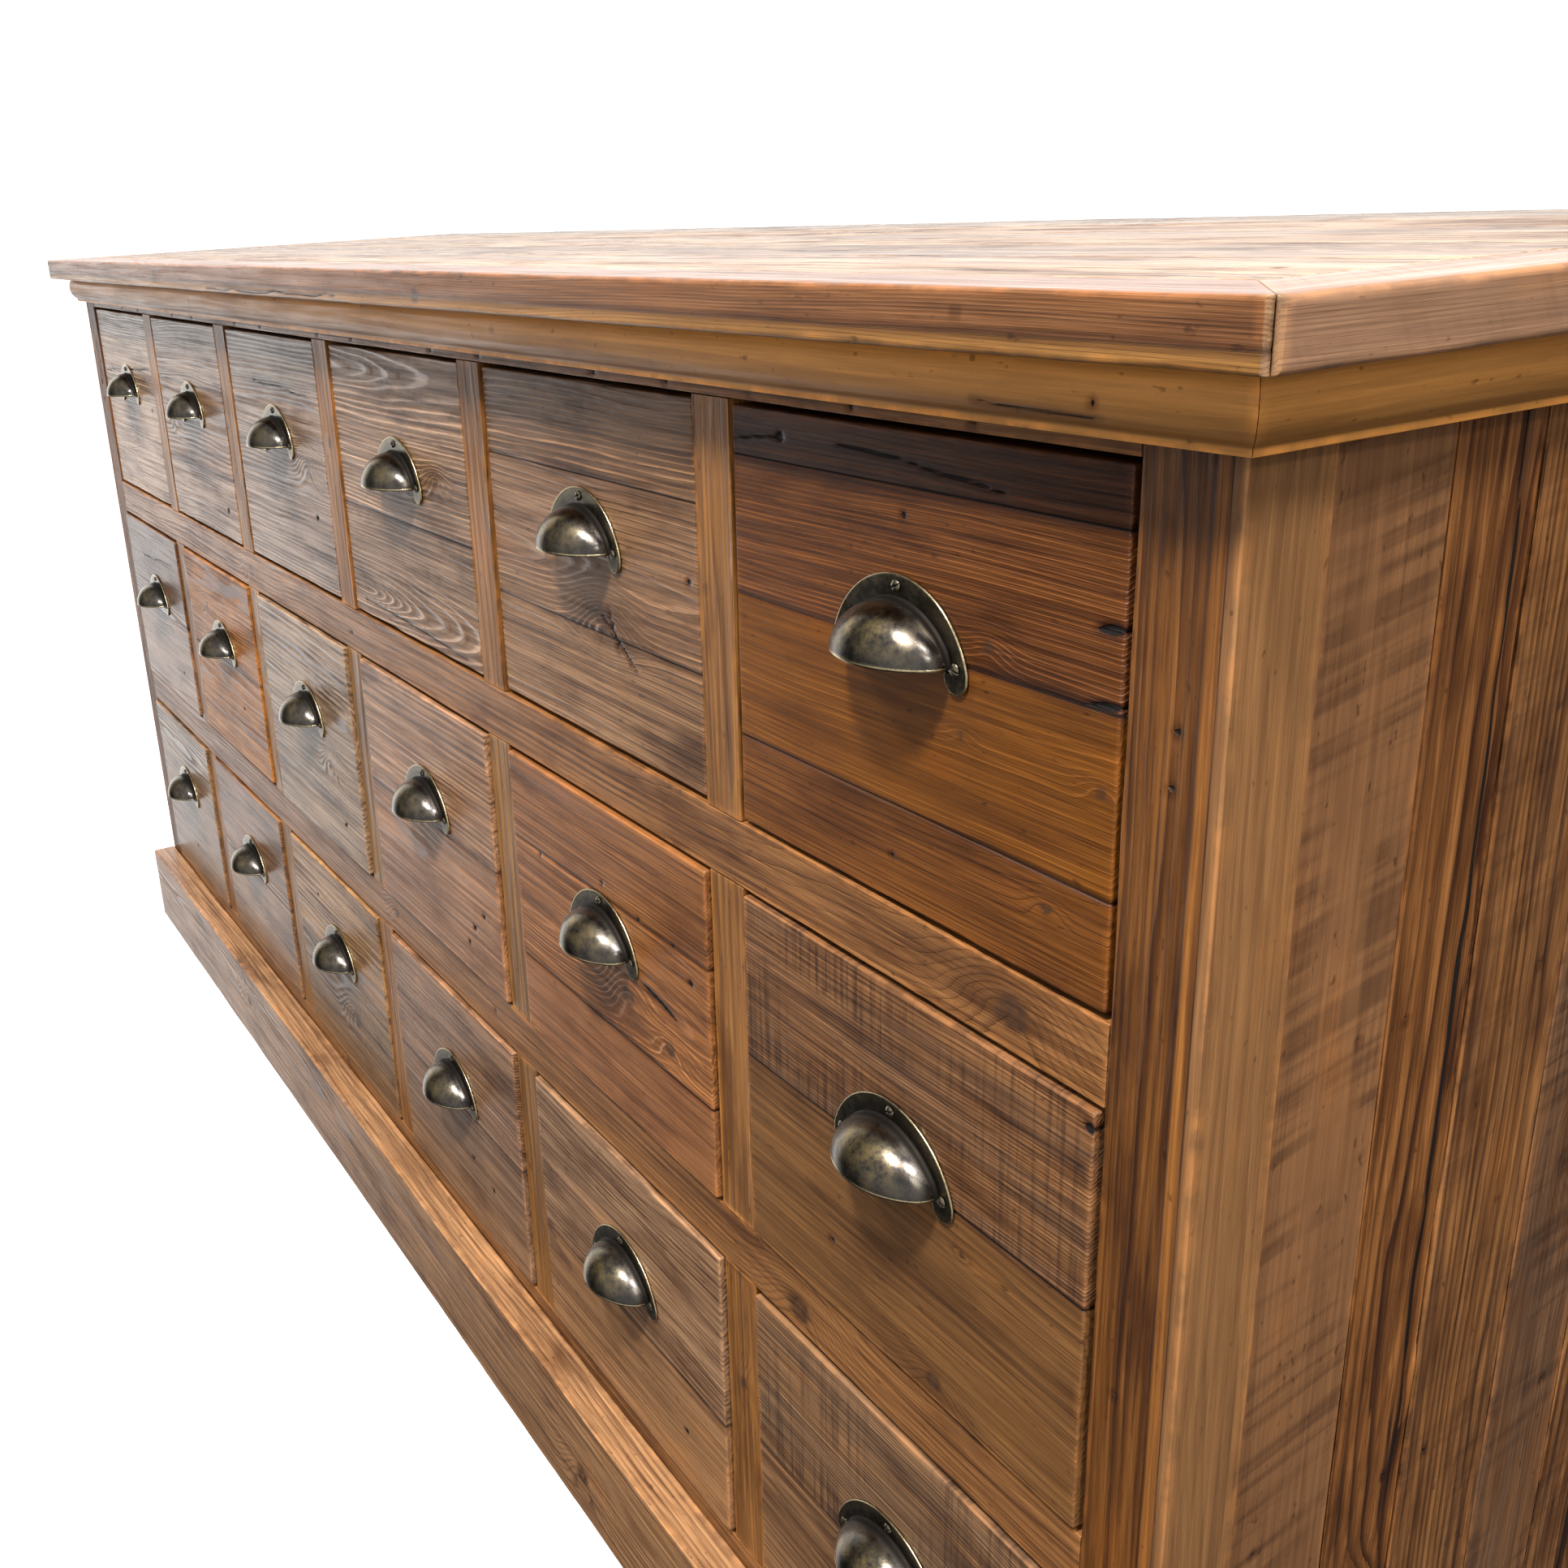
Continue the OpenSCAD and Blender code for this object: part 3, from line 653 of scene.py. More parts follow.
def face_frame():
    for side, node in ((-1, "post_front_left"), (1, "post_front_right")):
        low, high = corners(node)
        k = [(31, look((0.14, 0.056, 0.013), ring=3.0, depth=30, off=30, contrast=0.8, relief=0.3)),
             (6, straight((0.30, 0.125, 0.030), ring=3.0, contrast=0.35, relief=0.1)),
             (6, straight((0.24, 0.118, 0.047), ring=3.0, contrast=0.25, relief=0.1))][::side]
        post = board(low, high, 2, k, 70 + side, face=1, step=(4, 1.4), ease=1.6, joint=0.02,
                     holes=[(0.83, 0.5, 1.5), (0.855, 0.52, 1.3), (0.52, 0.3, 1.3)])
        build(node + "_wood", [post], CARCASS, "honey_wood", node)
    rails = {
        "top_rail": (81, [], [(0.05 + 0.045 * i, 0.11, 0.8 + 0.5 * (i % 3)) for i in range(21)]),
        "upper_mid_rail": (82, [(0.969, 0.50, 9), (0.33, 0.5, 6)], [(0.50, 0.4, 1.2)]),
        "lower_mid_rail": (83, [(0.875, 0.4, 9), (0.52, 0.6, 5)], [(0.64, 0.5, 1.2)]),
        "bottom_rail": (84, [(0.4, 0.8, 5)], []),
    }
    for node, (seed, knots, holes) in rails.items():
        low, high = corners(node)
        k = [(1, look(BROWN, ring=2.4, depth=35, off=25, tilt=0.006, contrast=0.5, relief=0.15))]
        rail = board(low, high, 0, k, seed, face=1, step=(4, 1.4), ease=1.0, knots=knots, holes=holes)
        build(node + "_wood", [rail], CARCASS, "frame_wood", node)

    stiles = []
    low, high = corners("face_stiles")
    tints = shades(HONEY, 8, 15)
    for row in range(ROWS):
        o_low, _ = corners(f"drawer_r{row + 1}c1")
        foot = o_low[2] - FRONT_GAP + SEAM
        for c in range(COLUMNS - 1):
            x = (c + 1 - COLUMNS / 2) * PITCH
            a = np.array([x - STILE_W / 2, low[1], foot])
            b = np.array([x + STILE_W / 2, high[1], foot + STILE_H])
            i = row * (COLUMNS - 1) + c
            k = [(1, look(tints[i], ring=2.8, depth=20, off=30 - 5 * i, contrast=0.45, relief=0.15))]
            stiles.append(board(a, b, 2, k, 90 + i, face=1, step=(4, 1.6), ease=0.9,
                                knots=[(0.62, 0.5, 4)] if i % 4 == 2 else [],
                                holes=[(0.55, 0.2, 1.2)] if i % 3 == 1 else []))
    build("stiles_wood", stiles, CARCASS, "honey_wood", "face_stiles")

    low, high = corners("plinth_front")
    k = [(1, look((0.30, 0.165, 0.085), ring=3.2, depth=30, off=15, tilt=0.008, contrast=0.5, relief=0.2))]
    plinth = board(low, high, 0, k, 110, face=1, step=(5, 1.8), ease=2.0,
                   knots=[(0.72, 0.4, 8), (0.25, 0.6, 7)],
                   holes=[(0.1, 0.7, 1.3), (0.45, 0.3, 1.3), (0.8, 0.7, 1.3)])
    build("plinth_wood", [plinth], CARCASS, "frame_wood", "plinth_front")


# for each plank of an end, from its front: colour, mm between rings, mm to the heart, saw marks, grey
# weathering, strength of the rings
END_PLANKS = [
    ((0.23, 0.108, 0.046), 3.4, 60, 0.75, 0.0, 0.15), ((0.21, 0.089, 0.029), 5.6, 30, 0.10, 0.0, 1.0),
    ((0.23, 0.106, 0.039), 3.8, 50, 0.4, 0.10, 0.7), ((0.20, 0.096, 0.043), 3.0, -60, 0.8, 0.25, 0.35),
    ((0.24, 0.113, 0.045), 5.0, 20, 0.4, 0.10, 0.8), ((0.21, 0.102, 0.044), 2.8, 70, 0.7, 0.20, 0.4),
    ((0.24, 0.116, 0.049), 3.2, -40, 0.6, 0.15, 0.6),
]


def ends_and_back():
    shares = [15, 12, 15, 13, 17, 13, 15]
    for side, node in ((1, "side_planks_right"), (-1, "side_planks_left")):
        boards = []
        for i, (low, high) in enumerate(split_boards(node, 1, shares, PLANK_SEAM)):
            tint, ring, off, saw, grey, contrast = END_PLANKS[i if side > 0 else 6 - i]
            k = look(tint, ring=ring, depth=25, off=off, tilt=0.01 * side, contrast=contrast, saw=saw,
                     slant=-0.2, pitch=7, grey=grey, relief=0.15 * ring * contrast)
            cracks = [((0.30, 0.88), (0.97, 0.80), 0.9), ((0.05, 0.3), (0.28, 0.36), 0.5)] if i == 1 else []
            if i == 4:
                cracks = [((0.1, 0.5), (0.55, 0.44), 0.6)]
            nails = [(0.97 - 0.28 * j, 0.25 + 0.5 * ((i + j) % 2), 1.5) for j in range(4)]
            boards.append(board(low, high, 2, [(1, k)], 120 + 10 * side + i, face=0, step=(4, 1.5), ease=1.2,
                                cracks=cracks, holes=nails, knots=[(0.2 + 0.12 * i, 0.5, 6)] if i % 2 else []))
        build(node + "_wood", boards, CARCASS, "weathered_wood", node)

    back = []
    tints = shades((0.24, 0.15, 0.09), 12, 9)
    shares = [12, 10, 13, 11, 12, 10, 11, 12, 9]
    for i, (low, high) in enumerate(split_boards("back_boards", 0, shares, PLANK_SEAM)):
        k = look(tints[i], ring=3.4, depth=30, off=20 * (i % 4) - 30, contrast=0.7, saw=0.4, grey=0.4,
                 relief=0.2)
        nails = [(f, w, 1.6) for f in (0.06, 0.94) for w in (0.2, 0.8)]
        back.append(board(low, high, 2, [(1, k)], 140 + i, face=1, step=(6, 2.5), ease=1.0, holes=nails,
                          knots=[(0.15 + 0.08 * i, 0.4, 9), (0.7, 0.6, 7)]))
    build("back_boards_wood", back, CARCASS, "weathered_wood", "back_boards")

    low, high = corners("posts_rear")
    rear = []
    for side in (-1, 1):
        a, b = low.copy(), high.copy()
        if side > 0:
            a[0] = high[0] - POST_W
        else:
            b[0] = low[0] + POST_W
        k = [(1, look(HONEY, ring=3.0, depth=14, off=12, contrast=0.5, relief=0.2))]
        rear.append(board(a, b, 2, k, 155 + side, face=1, step=(5, 2), ease=1.6))
    build("posts_rear_wood", rear, CARCASS, "honey_wood", "posts_rear")


def inner_cad():
    """The CAD pieces inside the case keep their own shapes."""
    for node in ("side_battens", "back_rails", "partitions", "drawer_runners", "drawer_stops",
                 "bottom_boards", "plinth_blocks"):
        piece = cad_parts[node]
        piece.data.materials.clear()
        piece.data.materials.append(RAW)


# ---------- drawers ----------

# for each drawer's front: its planks from the bottom up, each a share of the height and a look, and its
# knots, cracks and nail holes
DRAWERS = {
    "r1c1": dict(planks=[
        (6, straight((0.31, 0.2, 0.135), ring=2.0)),
        (4, straight((0.32, 0.21, 0.145), ring=2.4, off=-60))],
        knots=[(0.5, 0.3, 4)],
        cracks=[((0.05, 0.66), (0.95, 0.72), 0.5)],
        holes=[(0.9, 0.5, 1.5)]),
    "r1c2": dict(planks=[
        (3, straight((0.24, 0.15, 0.1))),
        (4, look((0.2, 0.105, 0.05), off=20)),
        (3, straight((0.22, 0.14, 0.1)))],
        knots=[(0.2, 0.5, 4)],
        holes=[(0.86, 0.14, 2.4)]),
    "r1c3": dict(planks=[
        (10, look((0.22, 0.148, 0.112), ring=3.6, depth=16, off=40, contrast=0.85, relief=0.3))],
        knots=[(0.8, 0.5, 6)],
        cracks=[((0.3, 0.8), (0.9, 0.78), 0.4)],
        holes=[(0.85, 0.3, 2)]),
    "r1c4": dict(planks=[
        (42, look((0.19, 0.112, 0.066), ring=2.8, depth=9, off=-20, tilt=0.1, contrast=-0.8, relief=0.4)),
        (58, look((0.2, 0.118, 0.07), ring=3.6, depth=14, off=45, contrast=-0.8, relief=0.5))],
        knots=[(0.78, 0.6, 4)],
        cracks=[((0.1, 0.06), (0.9, 0.03), 0.6)]),
    "r1c5": dict(planks=[
        (32, look((0.19, 0.105, 0.056), ring=3.8, depth=16, off=-40, contrast=-0.6, relief=0.35)),
        (43, look((0.19, 0.105, 0.058), ring=3.0, depth=22, off=-10, tilt=0.05, contrast=-0.5, relief=0.3)),
        (25, look((0.13, 0.068, 0.034), ring=4.2, depth=14, off=40, contrast=-0.9, relief=0.5))],
        knots=[(0.573, 0.368, 8)],
        cracks=[((0.57, 0.37), (0.72, 0.25), 0.7), ((0.6, 0.4), (0.64, 0.28), 0.6)],
        holes=[(0.96, 0.55, 1.5)]),
    # r1c6: its top plank is partly a darker board and partly painted shade under the worktop's overhang
    "r1c6": dict(planks=[
        (22, look((0.135, 0.047, 0.008), ring=3.2, depth=14, off=25, tilt=0.04, contrast=0.4)),
        (35, look((0.13, 0.044, 0.005), ring=2.4, depth=30, off=35, tilt=0.02, contrast=-0.3)),
        (32, straight((0.095, 0.032, 0.007), ring=2.0, contrast=-0.55, off=75)),
        (11, straight((0.062, 0.02, 0.005), ring=2.0, contrast=0.6, off=-70))],
        knots=[(0.721, 0.621, 3.0), (0.97, 0.423, 2.5), (0.867, 0.155, 2.5), (0.66, 0.43, 2)],
        cracks=[((0.95, 0.714), (1.0, 0.722), 1.7), ((0.94, 0.577), (1.0, 0.588), 1.3),
                ((0.0, 0.928), (0.16, 0.946), 0.3), ((0.33, 0.955), (0.52, 0.943), 0.5),
                ((0.52, 0.943), (0.75, 0.909), 0.4)],
        holes=[(0.159, 0.946, 2.2), (0.509, 0.834, 1.3), (0.483, 0.104, 0.9)]),
    "r2c1": dict(planks=[
        (5, straight((0.23, 0.125, 0.07), contrast=1.0)),
        (5, straight((0.14, 0.065, 0.028), contrast=1.0, off=-50))],
        cracks=[((0.3, 0.8), (0.9, 0.85), 0.5)],
        holes=[(0.8, 0.2, 1.5)]),
    "r2c2": dict(planks=[
        (5, look((0.32, 0.13, 0.026), ring=3.2, off=15, contrast=0.5)),
        (5, look((0.29, 0.118, 0.024), ring=2.8, off=35, contrast=0.6))],
        knots=[(0.3, 0.75, 5)],
        holes=[(0.7, 0.3, 1.5)]),
    "r2c3": dict(planks=[
        (10, look((0.25, 0.17, 0.115), ring=5.0, depth=16, off=30, tilt=0.05, contrast=1.0, relief=0.4))],
        knots=[(0.7, 0.4, 5)],
        holes=[(0.8, 0.15, 2)]),
    "r2c4": dict(planks=[
        (5, look((0.27, 0.135, 0.07), ring=3.0, depth=40, off=20, contrast=0.45)),
        (5, look((0.3, 0.17, 0.1), ring=4.4, depth=12, off=60, contrast=0.9, relief=0.4))],
        holes=[(0.8, 0.2, 2.2), (0.88, 0.28, 1.8), (0.75, 0.12, 1.6)]),
    "r2c5": dict(planks=[
        (28, look((0.26, 0.11, 0.042), ring=3.0, depth=30, off=30, contrast=0.35)),
        (43, look((0.22, 0.09, 0.03), ring=3.0, depth=8, off=-4, tilt=0.12, contrast=-0.6, relief=0.25)),
        (29, look((0.23, 0.095, 0.032), ring=2.6, depth=30, off=45, contrast=0.45))],
        knots=[(0.614, 0.435, 7), (0.813, 0.369, 5)],
        cracks=[((0.686, 0.515), (0.851, 0.478), 1.3)],
        holes=[(0.922, 0.633, 1.8), (0.157, 0.699, 1.1), (0.508, 0.753, 1.2), (0.687, 0.717, 0.9),
               (0.849, 0.711, 0.9)]),
    "r2c6": dict(planks=[
        (55, look((0.17, 0.08, 0.028), ring=3.0, depth=35, off=20, contrast=0.35)),
        (45, straight((0.17, 0.082, 0.036), ring=2.2, contrast=0.6, off=70, saw=1.0, grey=0.15))],
        knots=[(0.627, 0.055, 5), (0.698, 0.455, 2)],
        holes=[(0.99, 0.96, 2.4), (0.3, 0.2, 1.2)]),
    "r3c1": dict(planks=[
        (10, straight((0.21, 0.12, 0.06), ring=3.0, contrast=0.95))],
        holes=[(0.5, 0.2, 1.5)]),
    "r3c2": dict(planks=[
        (5, straight((0.24, 0.135, 0.075), contrast=0.9)),
        (5, straight((0.21, 0.098, 0.04), contrast=0.9, off=-60))],
        knots=[(0.6, 0.3, 5)]),
    "r3c3": dict(planks=[
        (5, look((0.18, 0.105, 0.055), ring=3.0, off=30, contrast=0.5)),
        (5, look((0.29, 0.16, 0.07), ring=3.0, off=-40, contrast=0.5))],
        knots=[(0.62, 0.3, 9)],
        holes=[(0.3, 0.8, 1.4)]),
    "r3c4": dict(planks=[
        (5, straight((0.21, 0.125, 0.08), ring=2.0)),
        (5, straight((0.26, 0.145, 0.088), ring=2.4, contrast=0.7, off=-60))],
        holes=[(0.75, 0.25, 2.0), (0.6, 0.3, 1.5)]),
    "r3c5": dict(planks=[
        (40, look((0.26, 0.14, 0.07), ring=3.2, off=25, contrast=0.4)),
        (60, look((0.28, 0.17, 0.105), ring=4.0, depth=12, off=60, contrast=0.85, relief=0.35))],
        holes=[(0.8, 0.2, 1.8)]),
    "r3c6": dict(planks=[
        (5, look((0.2, 0.11, 0.058), ring=3.0, off=30, contrast=0.5)),
        (5, straight((0.19, 0.105, 0.055), ring=2.6, contrast=0.7, saw=1.0, grey=0.2))]),
}


def drawer_box(low, high, seed):
    """Two sides, the back and the bottom, behind the drawer's front."""
    left, right = low[0] + 1 * MM, high[0] - 1 * MM
    front, back = low[1] + FRONT_T + SEAM, high[1]
    foot = low[2] + BOX_BOTTOM + SEAM
    top = foot + BOX_WALL_H
    k = [(1, look(PINE, ring=3.0, depth=25, off=20, contrast=0.45, relief=0.0))]
    coarse = (16, 8)
    return [
        board((left, front, foot), (left + BOX_T, back, top), 1, k, seed + 1, face=0, step=coarse, ease=0.8),
        board((right - BOX_T, front, foot), (right, back, top), 1, k, seed + 2, face=0, step=coarse, ease=0.8),
        board((left + BOX_T + SEAM, back - BOX_T, foot), (right - BOX_T - SEAM, back, top), 0, k, seed + 3,
              face=1, step=coarse, ease=0.8),
        board((left, front, low[2]), (right, back, low[2] + BOX_BOTTOM), 1, k, seed + 4, face=2, step=coarse,
              ease=0.6),
    ]


def drawers():
    for row in range(1, ROWS + 1):
        for c in range(1, COLUMNS + 1):
            key = f"r{row}c{c}"
            low, high = corners("drawer_" + key)
            marks = dict(DRAWERS[key])
            planks = marks.pop("planks")
            front_high = np.array([high[0], low[1] + FRONT_T, high[2]])
            seed = 200 + 20 * row + c
            front = board(low, front_high, 0, planks, seed, face=1, step=(2.2, 1.2), ease=2.0, joint=0.25,
                          **marks)
            body = "sliding_" + key
            build("drawer_front_" + key, [front], body, "drawer_wood", "drawer_" + key)

            build("drawer_box_" + key, drawer_box(low, high, seed), body, "raw_wood")


# ---------- pulls ----------

# the pull's sizes in mm: x to the right, y into the drawer from its face, z up from the cup's open edge
PLATE = (43.75, 33)                 # half width and height of the plate's arc
PLATE_FACE = -1.4
LOBE_X, LOBE_Z, LOBE_R = 37, -3, 6.75
CUP_HALF, CUP_RISE, CUP_CORNER_R = 33.5, 23, 14
OUTSIDE, INSIDE = (33.4, 22.9), (32.1, 21.6)
CUP_FOOT = -3                       # where the cup's round part begins
LIP_R, LIP_Z = 0.95, 0.75
HEAD_R, HEAD_RISE = 2.7, 1.5
SCREWS = ((0, 28, 0.4), (-36.75, 1, 1.1), (36.75, 1, -0.5))     # x, z and turn of each head
PLATE_FOOT = 9.75                   # how far the plate reaches below the cup's open edge


def arc(half, rise, count):
    """Points of an arc standing on the x axis, from its left end to its right."""
    r = (half * half + rise * rise) / (2 * rise)
    t = np.linspace(-1, 1, count) * math.asin(half / r)
    return np.stack([r * np.sin(t), rise - r + r * np.cos(t)], 1)


def arch(half, rise, count):
    """Points of a fuller arch standing on the x axis: small arcs at its ends and a large one between them."""
    end_r = CUP_CORNER_R - (CUP_HALF - half)
    a, b = half - end_r, rise - end_r
    drop = (a * a - b * b) / (2 * b)
    turn = math.atan2(a, drop)
    t = np.linspace(-math.pi / 2, math.pi / 2, count)
    on_end = np.abs(t) > turn
    x = np.where(on_end, np.sign(t) * a + end_r * np.sin(t), (rise + drop) * np.sin(t))
    z = np.where(on_end, end_r * np.cos(t), (rise + drop) * np.cos(t) - drop)
    return np.stack([x, z], 1)


def strip_grid(rows, closed=False):
    """Quads between rows of points of equal length; rows is (m, n, 3)."""
    m, n = rows.shape[:2]
    ids = np.arange(m * n).reshape(m, n)
    if closed:
        ids = np.concatenate([ids, ids[:1]])
    a, b, c, d = ids[:-1, :-1], ids[1:, :-1], ids[1:, 1:], ids[:-1, 1:]
    return rows.reshape(-1, 3), np.stack([a, b, c, d], -1).reshape(-1, 4)


def tube(path, radius, around=10):
    """A tube along a path, closing to a point at both ends."""
    path = np.asarray(path)
    ahead = np.gradient(path, axis=0)
    ahead /= np.linalg.norm(ahead, axis=1)[:, None]
    up = np.tile([0.0, 0.0, 1.0], (len(path), 1))
    side = np.cross(ahead, up)
    side /= np.linalg.norm(side, axis=1)[:, None]
    size = np.full(len(path), radius)
    size[[0, -1]] = 0.02
    rows = [path + size[:, None] * (math.cos(a) * side + math.sin(a) * up)
            for a in np.linspace(0, 2 * math.pi, around, endpoint=False)]
    return strip_grid(np.array(rows), closed=True)


def upright(points, y):
    """Points given as x and height, as a row in the plane at depth y."""
    return np.stack([points[:, 0], np.full(len(points), y), points[:, 1]], 1)


def pressed(points, a):
    """The cup's section at an angle out from the drawer's face."""
    return np.stack([points[:, 0], CUP_FOOT - points[:, 1] * np.sin(a), points[:, 1] * np.cos(a)], 1)


def plate():
    """The backplate: across its front from the cup to the outline, round its edge and back behind."""
    n_arc, n_lobe = 89, 25
    outer, inner = arc(*PLATE, n_arc), arch(*INSIDE, n_arc)
    turn = np.radians(np.linspace(0, -205, n_lobe))
    lobe = np.stack([LOBE_X + LOBE_R * np.cos(turn), LOBE_Z + LOBE_R * np.sin(turn)], 1)
    edge = np.stack([np.linspace(INSIDE[0], 31.2, n_lobe), np.full(n_lobe, -0.1)], 1)
    flip = np.array([-1, 1])
    outline = np.concatenate([lobe[:0:-1] * flip, outer, lobe[1:]])
    opening = np.concatenate([edge[:0:-1] * flip, inner, edge[1:]])
    span = outline - opening
    length = np.maximum(np.linalg.norm(span, axis=1), 0.05)[:, None]
    rows, rim = [], []
    for f in (0, 0.25, 0.5, 0.75, 0.9):
        rows.append(upright(opening + span * f, PLATE_FACE + 0.05 * f))
        rim.append(0.15 + 0.25 * (f > 0.7))
    for inset, y in ((0.55, -1.36), (0.2, -1.22), (0.0, -0.85), (0.0, -0.02)):
        rows.append(upright(outline - span / length * np.minimum(inset, 0.45 * length), y))
        rim.append(1.0 if y < -0.5 else 0.3)
    rows.append(upright(opening, -0.02))
    rim.append(0.1)
    wear = np.zeros((len(rim) * len(opening), 3))
    wear[:, 0] = np.repeat(rim, len(opening))
    return (*strip_grid(np.array(rows), closed=True), wear)


def cup():
    """The pressed shell, flared where it leaves the backplate: its outside, then its inside."""
    n = 81
    wall, within = arch(*OUTSIDE, n), arch(*INSIDE, n)
    rows, wear = [], []

    def add(row, rim, dome, darkened):
        rows.append(row)
        wear.append(np.stack([np.full(n, rim), np.ones(n) * dome, np.full(n, darkened)], 1))

    # darkened fully at the flare into the plate and the first few degrees of the outside, by half on the
    # inside
    for grow, y in ((1.05, -1.3), (1.03, -1.6), (1.005, -2.3)):
        add(upright(wall * [1 + (grow - 1) * 0.7, grow], y), 0.1, 0.0, 1.0)
    for degrees in np.linspace(0, 90, 31):
        dome = np.exp(-(wall[:, 0] / 20) ** 2) * math.exp(-((degrees - 50) / 30) ** 2)
        rim = 0.9 * max(0.0, (degrees - 84) / 6)
        add(pressed(wall, np.radians(degrees)), rim, dome, smooth(degrees, 14, 3))
    for degrees in np.linspace(90, 0, 17):
        add(pressed(within, np.radians(degrees)), 0.05, 0.0, 0.5)
    add(upright(within, -0.1), 0.05, 0.0, 0.5)
    return (*strip_grid(np.array(rows)[::-1]), np.concatenate(wear[::-1]))


def lip():
    """The rolled lip along the cup's open edge."""
    rim = arch(CUP_HALF - LIP_R, CUP_RISE - LIP_R, 61)
    path = np.stack([rim[:, 0], CUP_FOOT - rim[:, 1], np.full(61, LIP_Z)], 1)
    path = np.concatenate([[[rim[0, 0], -1.0, LIP_Z]], path, [[rim[-1, 0], -1.0, LIP_Z]]])
    verts, quads = tube(path, LIP_R)
    return verts, quads, np.tile([1.0, 0.0, 0.0], (len(verts), 1))


def screw(x, z, turned):
    """A domed head whose slot is turned by an angle."""
    g = np.linspace(-1, 1, 17)
    a, b = np.meshgrid(g, g, indexing="ij")
    unit = np.maximum(np.abs(a), np.abs(b)) / np.maximum(np.hypot(a, b), 1e-9)
    a, b = a * unit, b * unit
    rise = HEAD_RISE * np.sqrt(np.clip(1 - 0.93 * (a * a + b * b), 0, 1))
    across_slot = np.abs(-a * math.sin(turned) + b * math.cos(turned)) * 3.05
    rise = rise - 0.5 * (1 - smooth(across_slot, 0.30, 0.55))
    rows = np.stack([x + HEAD_R * a, PLATE_FACE - np.maximum(rise, 0.0), z + HEAD_R * b], -1)
    verts, quads = strip_grid(rows)
    in_slot = (across_slot.ravel() < 0.5) & (np.hypot(a, b).ravel() < 0.85)
    return verts, quads[:, ::-1], np.stack([np.where(in_slot, 0.0, 0.3), in_slot * 0.0, in_slot * 1.0], 1)


def pulls():
    parts = [plate(), cup(), lip()] + [screw(*place) for place in SCREWS]
    starts = np.cumsum([0] + [len(p[0]) for p in parts[:-1]])
    verts = np.concatenate([p[0] for p in parts])
    quads = np.concatenate([p[1] + s for p, s in zip(parts, starts)])
    wear = np.concatenate([p[2] for p in parts])
    for row in range(1, ROWS + 1):
        for c in range(1, COLUMNS + 1):
            key = f"r{row}c{c}"
            p_low, p_high = corners("pull_" + key)
            face_y = corners("drawer_" + key)[0][1]
            place = np.array([(p_low[0] + p_high[0]) / 2, face_y, p_low[2] + PLATE_FOOT * MM])
            mesh = new_mesh("cup_pull_" + key, verts * MM + place, quads, BRASS)
            put_vector(mesh, "wear", wear)
            put_vector(mesh, "grain", verts * MM + place)
            add_piece("cup_pull_" + key, mesh, "sliding_" + key, "aged_brass", "pull_" + key)


worktop()
cornice()
face_frame()
ends_and_back()
inner_cad()
drawers()
pulls()


# ---------- floor, light and camera ----------

def floor():
    f = Nodes("pale_floor")
    where = f.node("ShaderNodeTexCoord").outputs["Object"]
    soft = f.noise(where, (3, 3, 3), 3, 0.5)
    f.set(Base_Color=f.mix(soft, (0.86, 0.86, 0.86), (0.90, 0.90, 0.90)), Roughness=0.9,
          Emission_Color=(1, 1, 1, 1), Emission_Strength=0.5, Specular_IOR_Level=0.1)
    verts = np.array([(-12, -0.95, -0.0005), (3, -0.95, -0.0005), (3, 12, -0.0005), (-12, 12, -0.0005)])
    piece = bpy.data.objects.new("floor", new_mesh("floor", verts, [(0, 1, 2, 3)], f.material, False))
    bpy.context.scene.collection.objects.link(piece)
    piece.visible_diffuse = piece.visible_glossy = False


def lamp(name, place, target, size, power):
    data = bpy.data.lights.new(name, "AREA")
    data.shape = "RECTANGLE"
    data.size, data.size_y = size
    data.energy = power
    o = bpy.data.objects.new(name, data)
    o.location = place
    o.rotation_euler = (Vector(target) - Vector(place)).to_track_quat("-Z", "Y").to_euler()
    bpy.context.scene.collection.objects.link(o)
    return o


# parts of the studio's white walls that shine on the object: direction, cosines where each begins and is
# full, brightness at those two
GLOWS = (((-0.90, 0.43, 0.0), 0.54, 0.80, 0.0, 1.75), ((0.55, -0.65, 0.52), -0.1, 0.9, 0.05, 0.85))


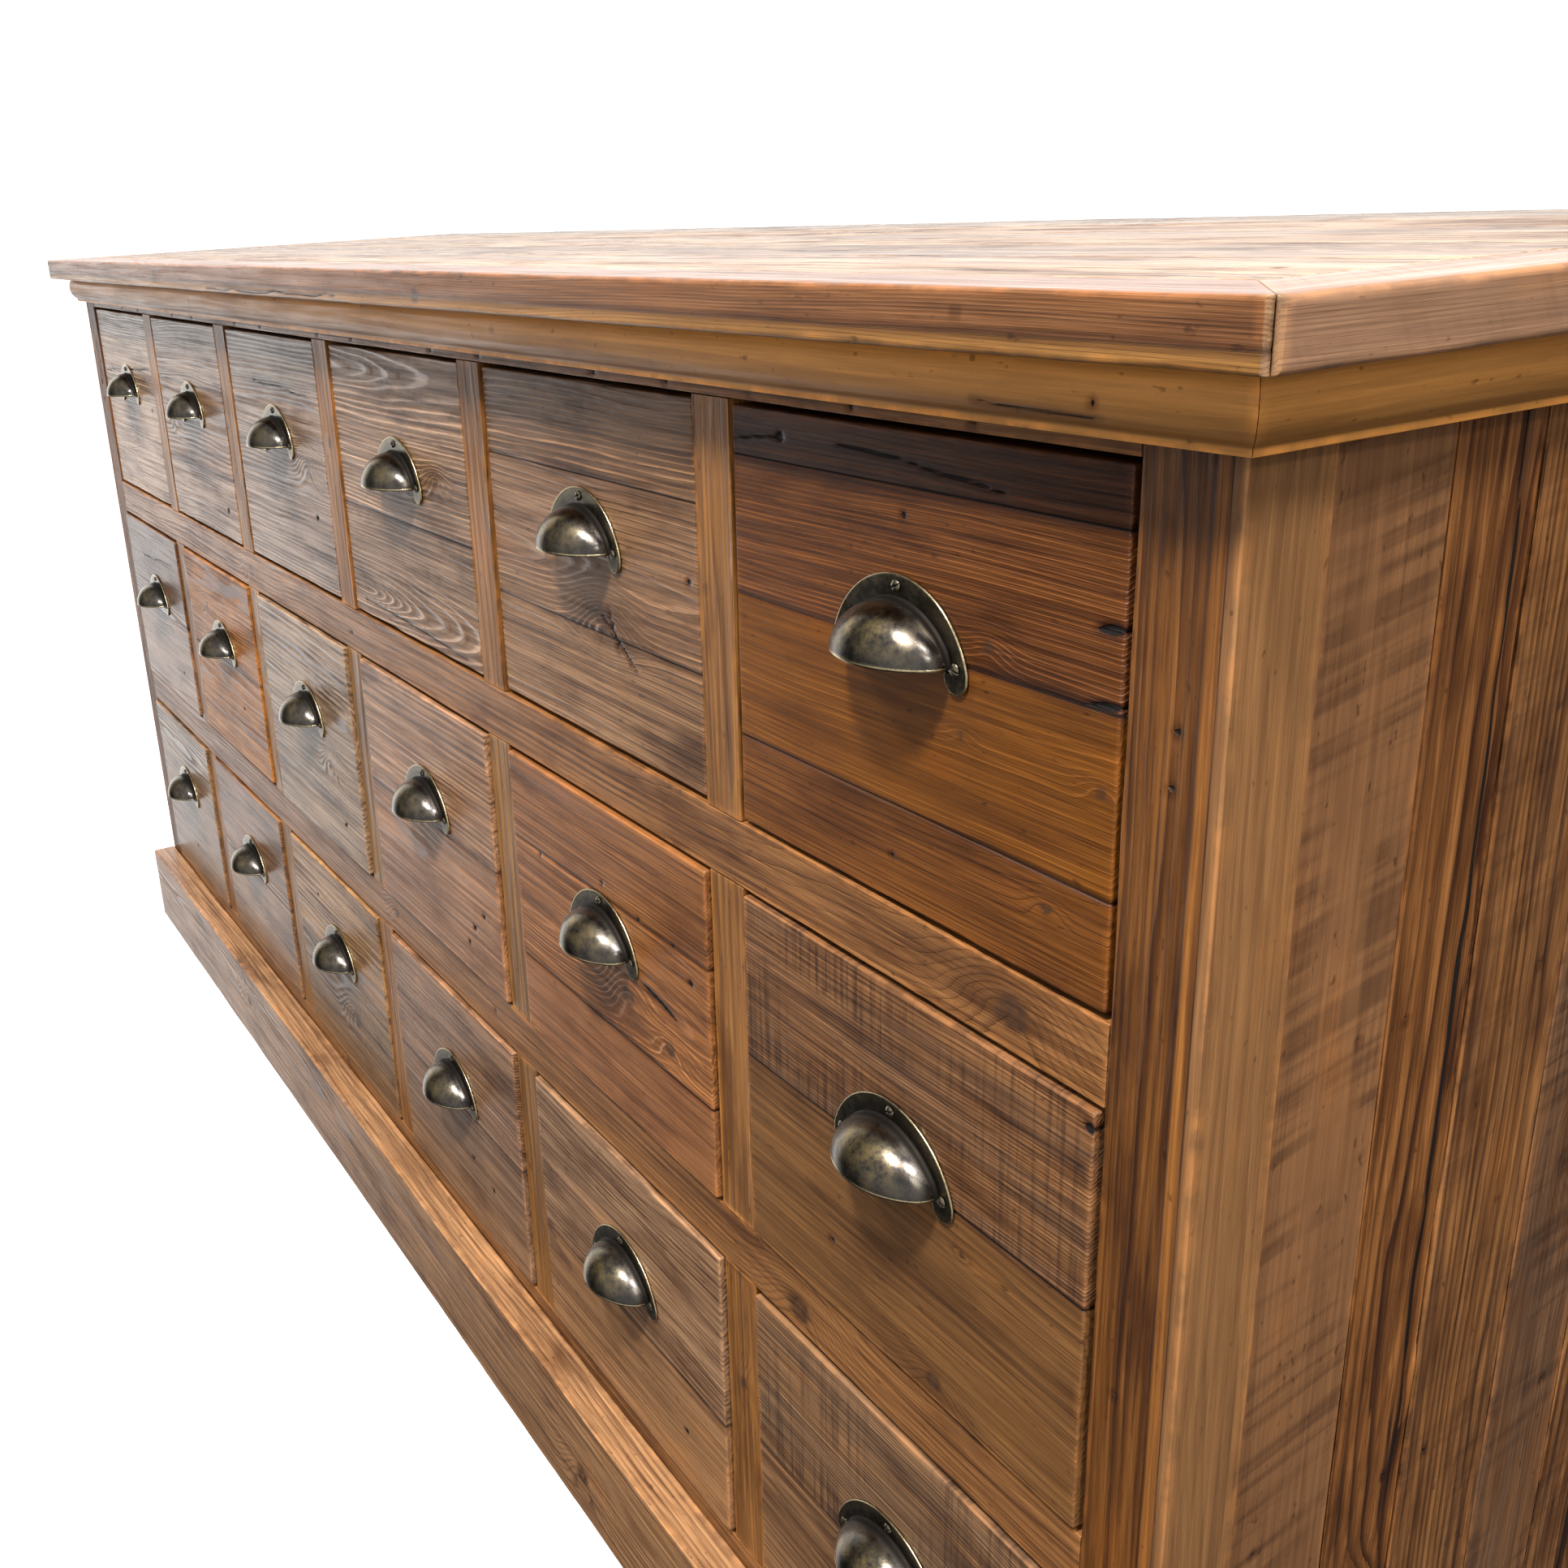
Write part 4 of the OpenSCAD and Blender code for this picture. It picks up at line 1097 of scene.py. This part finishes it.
def surroundings():
    """A white studio: bright behind and to the left of the object, softer in front of it, dim below."""
    world = bpy.data.worlds.new("studio")
    world.use_nodes = True
    tree = world.node_tree
    where = tree.nodes.new("ShaderNodeTexCoord")
    glow = None
    for toward, start, end, dim, bright in GLOWS:
        facing = tree.nodes.new("ShaderNodeVectorMath")
        facing.operation = "DOT_PRODUCT"
        facing.inputs[1].default_value = toward
        ramp = tree.nodes.new("ShaderNodeMapRange")
        ramp.interpolation_type = "SMOOTHSTEP"
        for i, value in ((1, start), (2, end), (3, dim), (4, bright)):
            ramp.inputs[i].default_value = value
        both = tree.nodes.new("ShaderNodeMath")
        both.operation = "ADD"
        both.inputs[1].default_value = 0.0
        tree.links.new(where.outputs["Generated"], facing.inputs[0])
        tree.links.new(facing.outputs["Value"], ramp.inputs[0])
        tree.links.new(ramp.outputs[0], both.inputs[0])
        if glow:
            tree.links.new(glow, both.inputs[1])
        glow = both.outputs[0]
    seen = tree.nodes.new("ShaderNodeLightPath")
    strength = tree.nodes.new("ShaderNodeMath")
    strength.operation = "MAXIMUM"
    tree.links.new(glow, strength.inputs[0])
    tree.links.new(seen.outputs["Is Camera Ray"], strength.inputs[1])
    tree.nodes["Background"].inputs["Color"].default_value = (1, 1, 1, 1)
    tree.links.new(strength.outputs[0], tree.nodes["Background"].inputs["Strength"])
    bpy.context.scene.world = world
    bpy.context.scene.view_settings.view_transform = "Standard"
    lamp("overhead_front", (1.10, -1.25, 2.75), (0.75, -0.2, 0.7), (0.32, 0.25), 92)
    lamp("overhead_end", (2.15, -0.55, 2.75), (0.9, -0.1, 0.6), (0.35, 0.3), 58)
    fill = lamp("overhead_left", (-0.9, -1.1, 2.75), (-0.6, -0.2, 0.6), (0.6, 0.4), 52)
    fill.visible_glossy = False
    lamp("low_end", (2.5, -0.95, 1.9), (0.8, -0.2, 0.5), (0.2, 0.2), 8)


def camera():
    place = Vector((1.2052, -0.6277, 0.8958))
    azimuth, height, roll = (math.radians(a) for a in (62.173, 19.837, -3.327))
    level = math.cos(height)
    back = Vector((math.sin(azimuth) * level, -math.cos(azimuth) * level, math.sin(height)))
    right0 = (-back).cross(Vector((0, 0, 1))).normalized()
    up0 = back.cross(right0)
    right = math.cos(roll) * right0 + math.sin(roll) * up0
    up = math.cos(roll) * up0 - math.sin(roll) * right0
    data = bpy.data.cameras.new("camera")
    data.sensor_width = 36
    data.lens = 36.37
    data.shift_x, data.shift_y = 0.1025, -0.0093
    data.clip_start = 0.02
    o = bpy.data.objects.new("camera", data)
    o.matrix_world = Matrix((
        (right.x, up.x, back.x, place.x), (right.y, up.y, back.y, place.y),
        (right.z, up.z, back.z, place.z), (0, 0, 0, 1)))
    bpy.context.scene.collection.objects.link(o)
    bpy.context.scene.camera = o


floor()
surroundings()
camera()
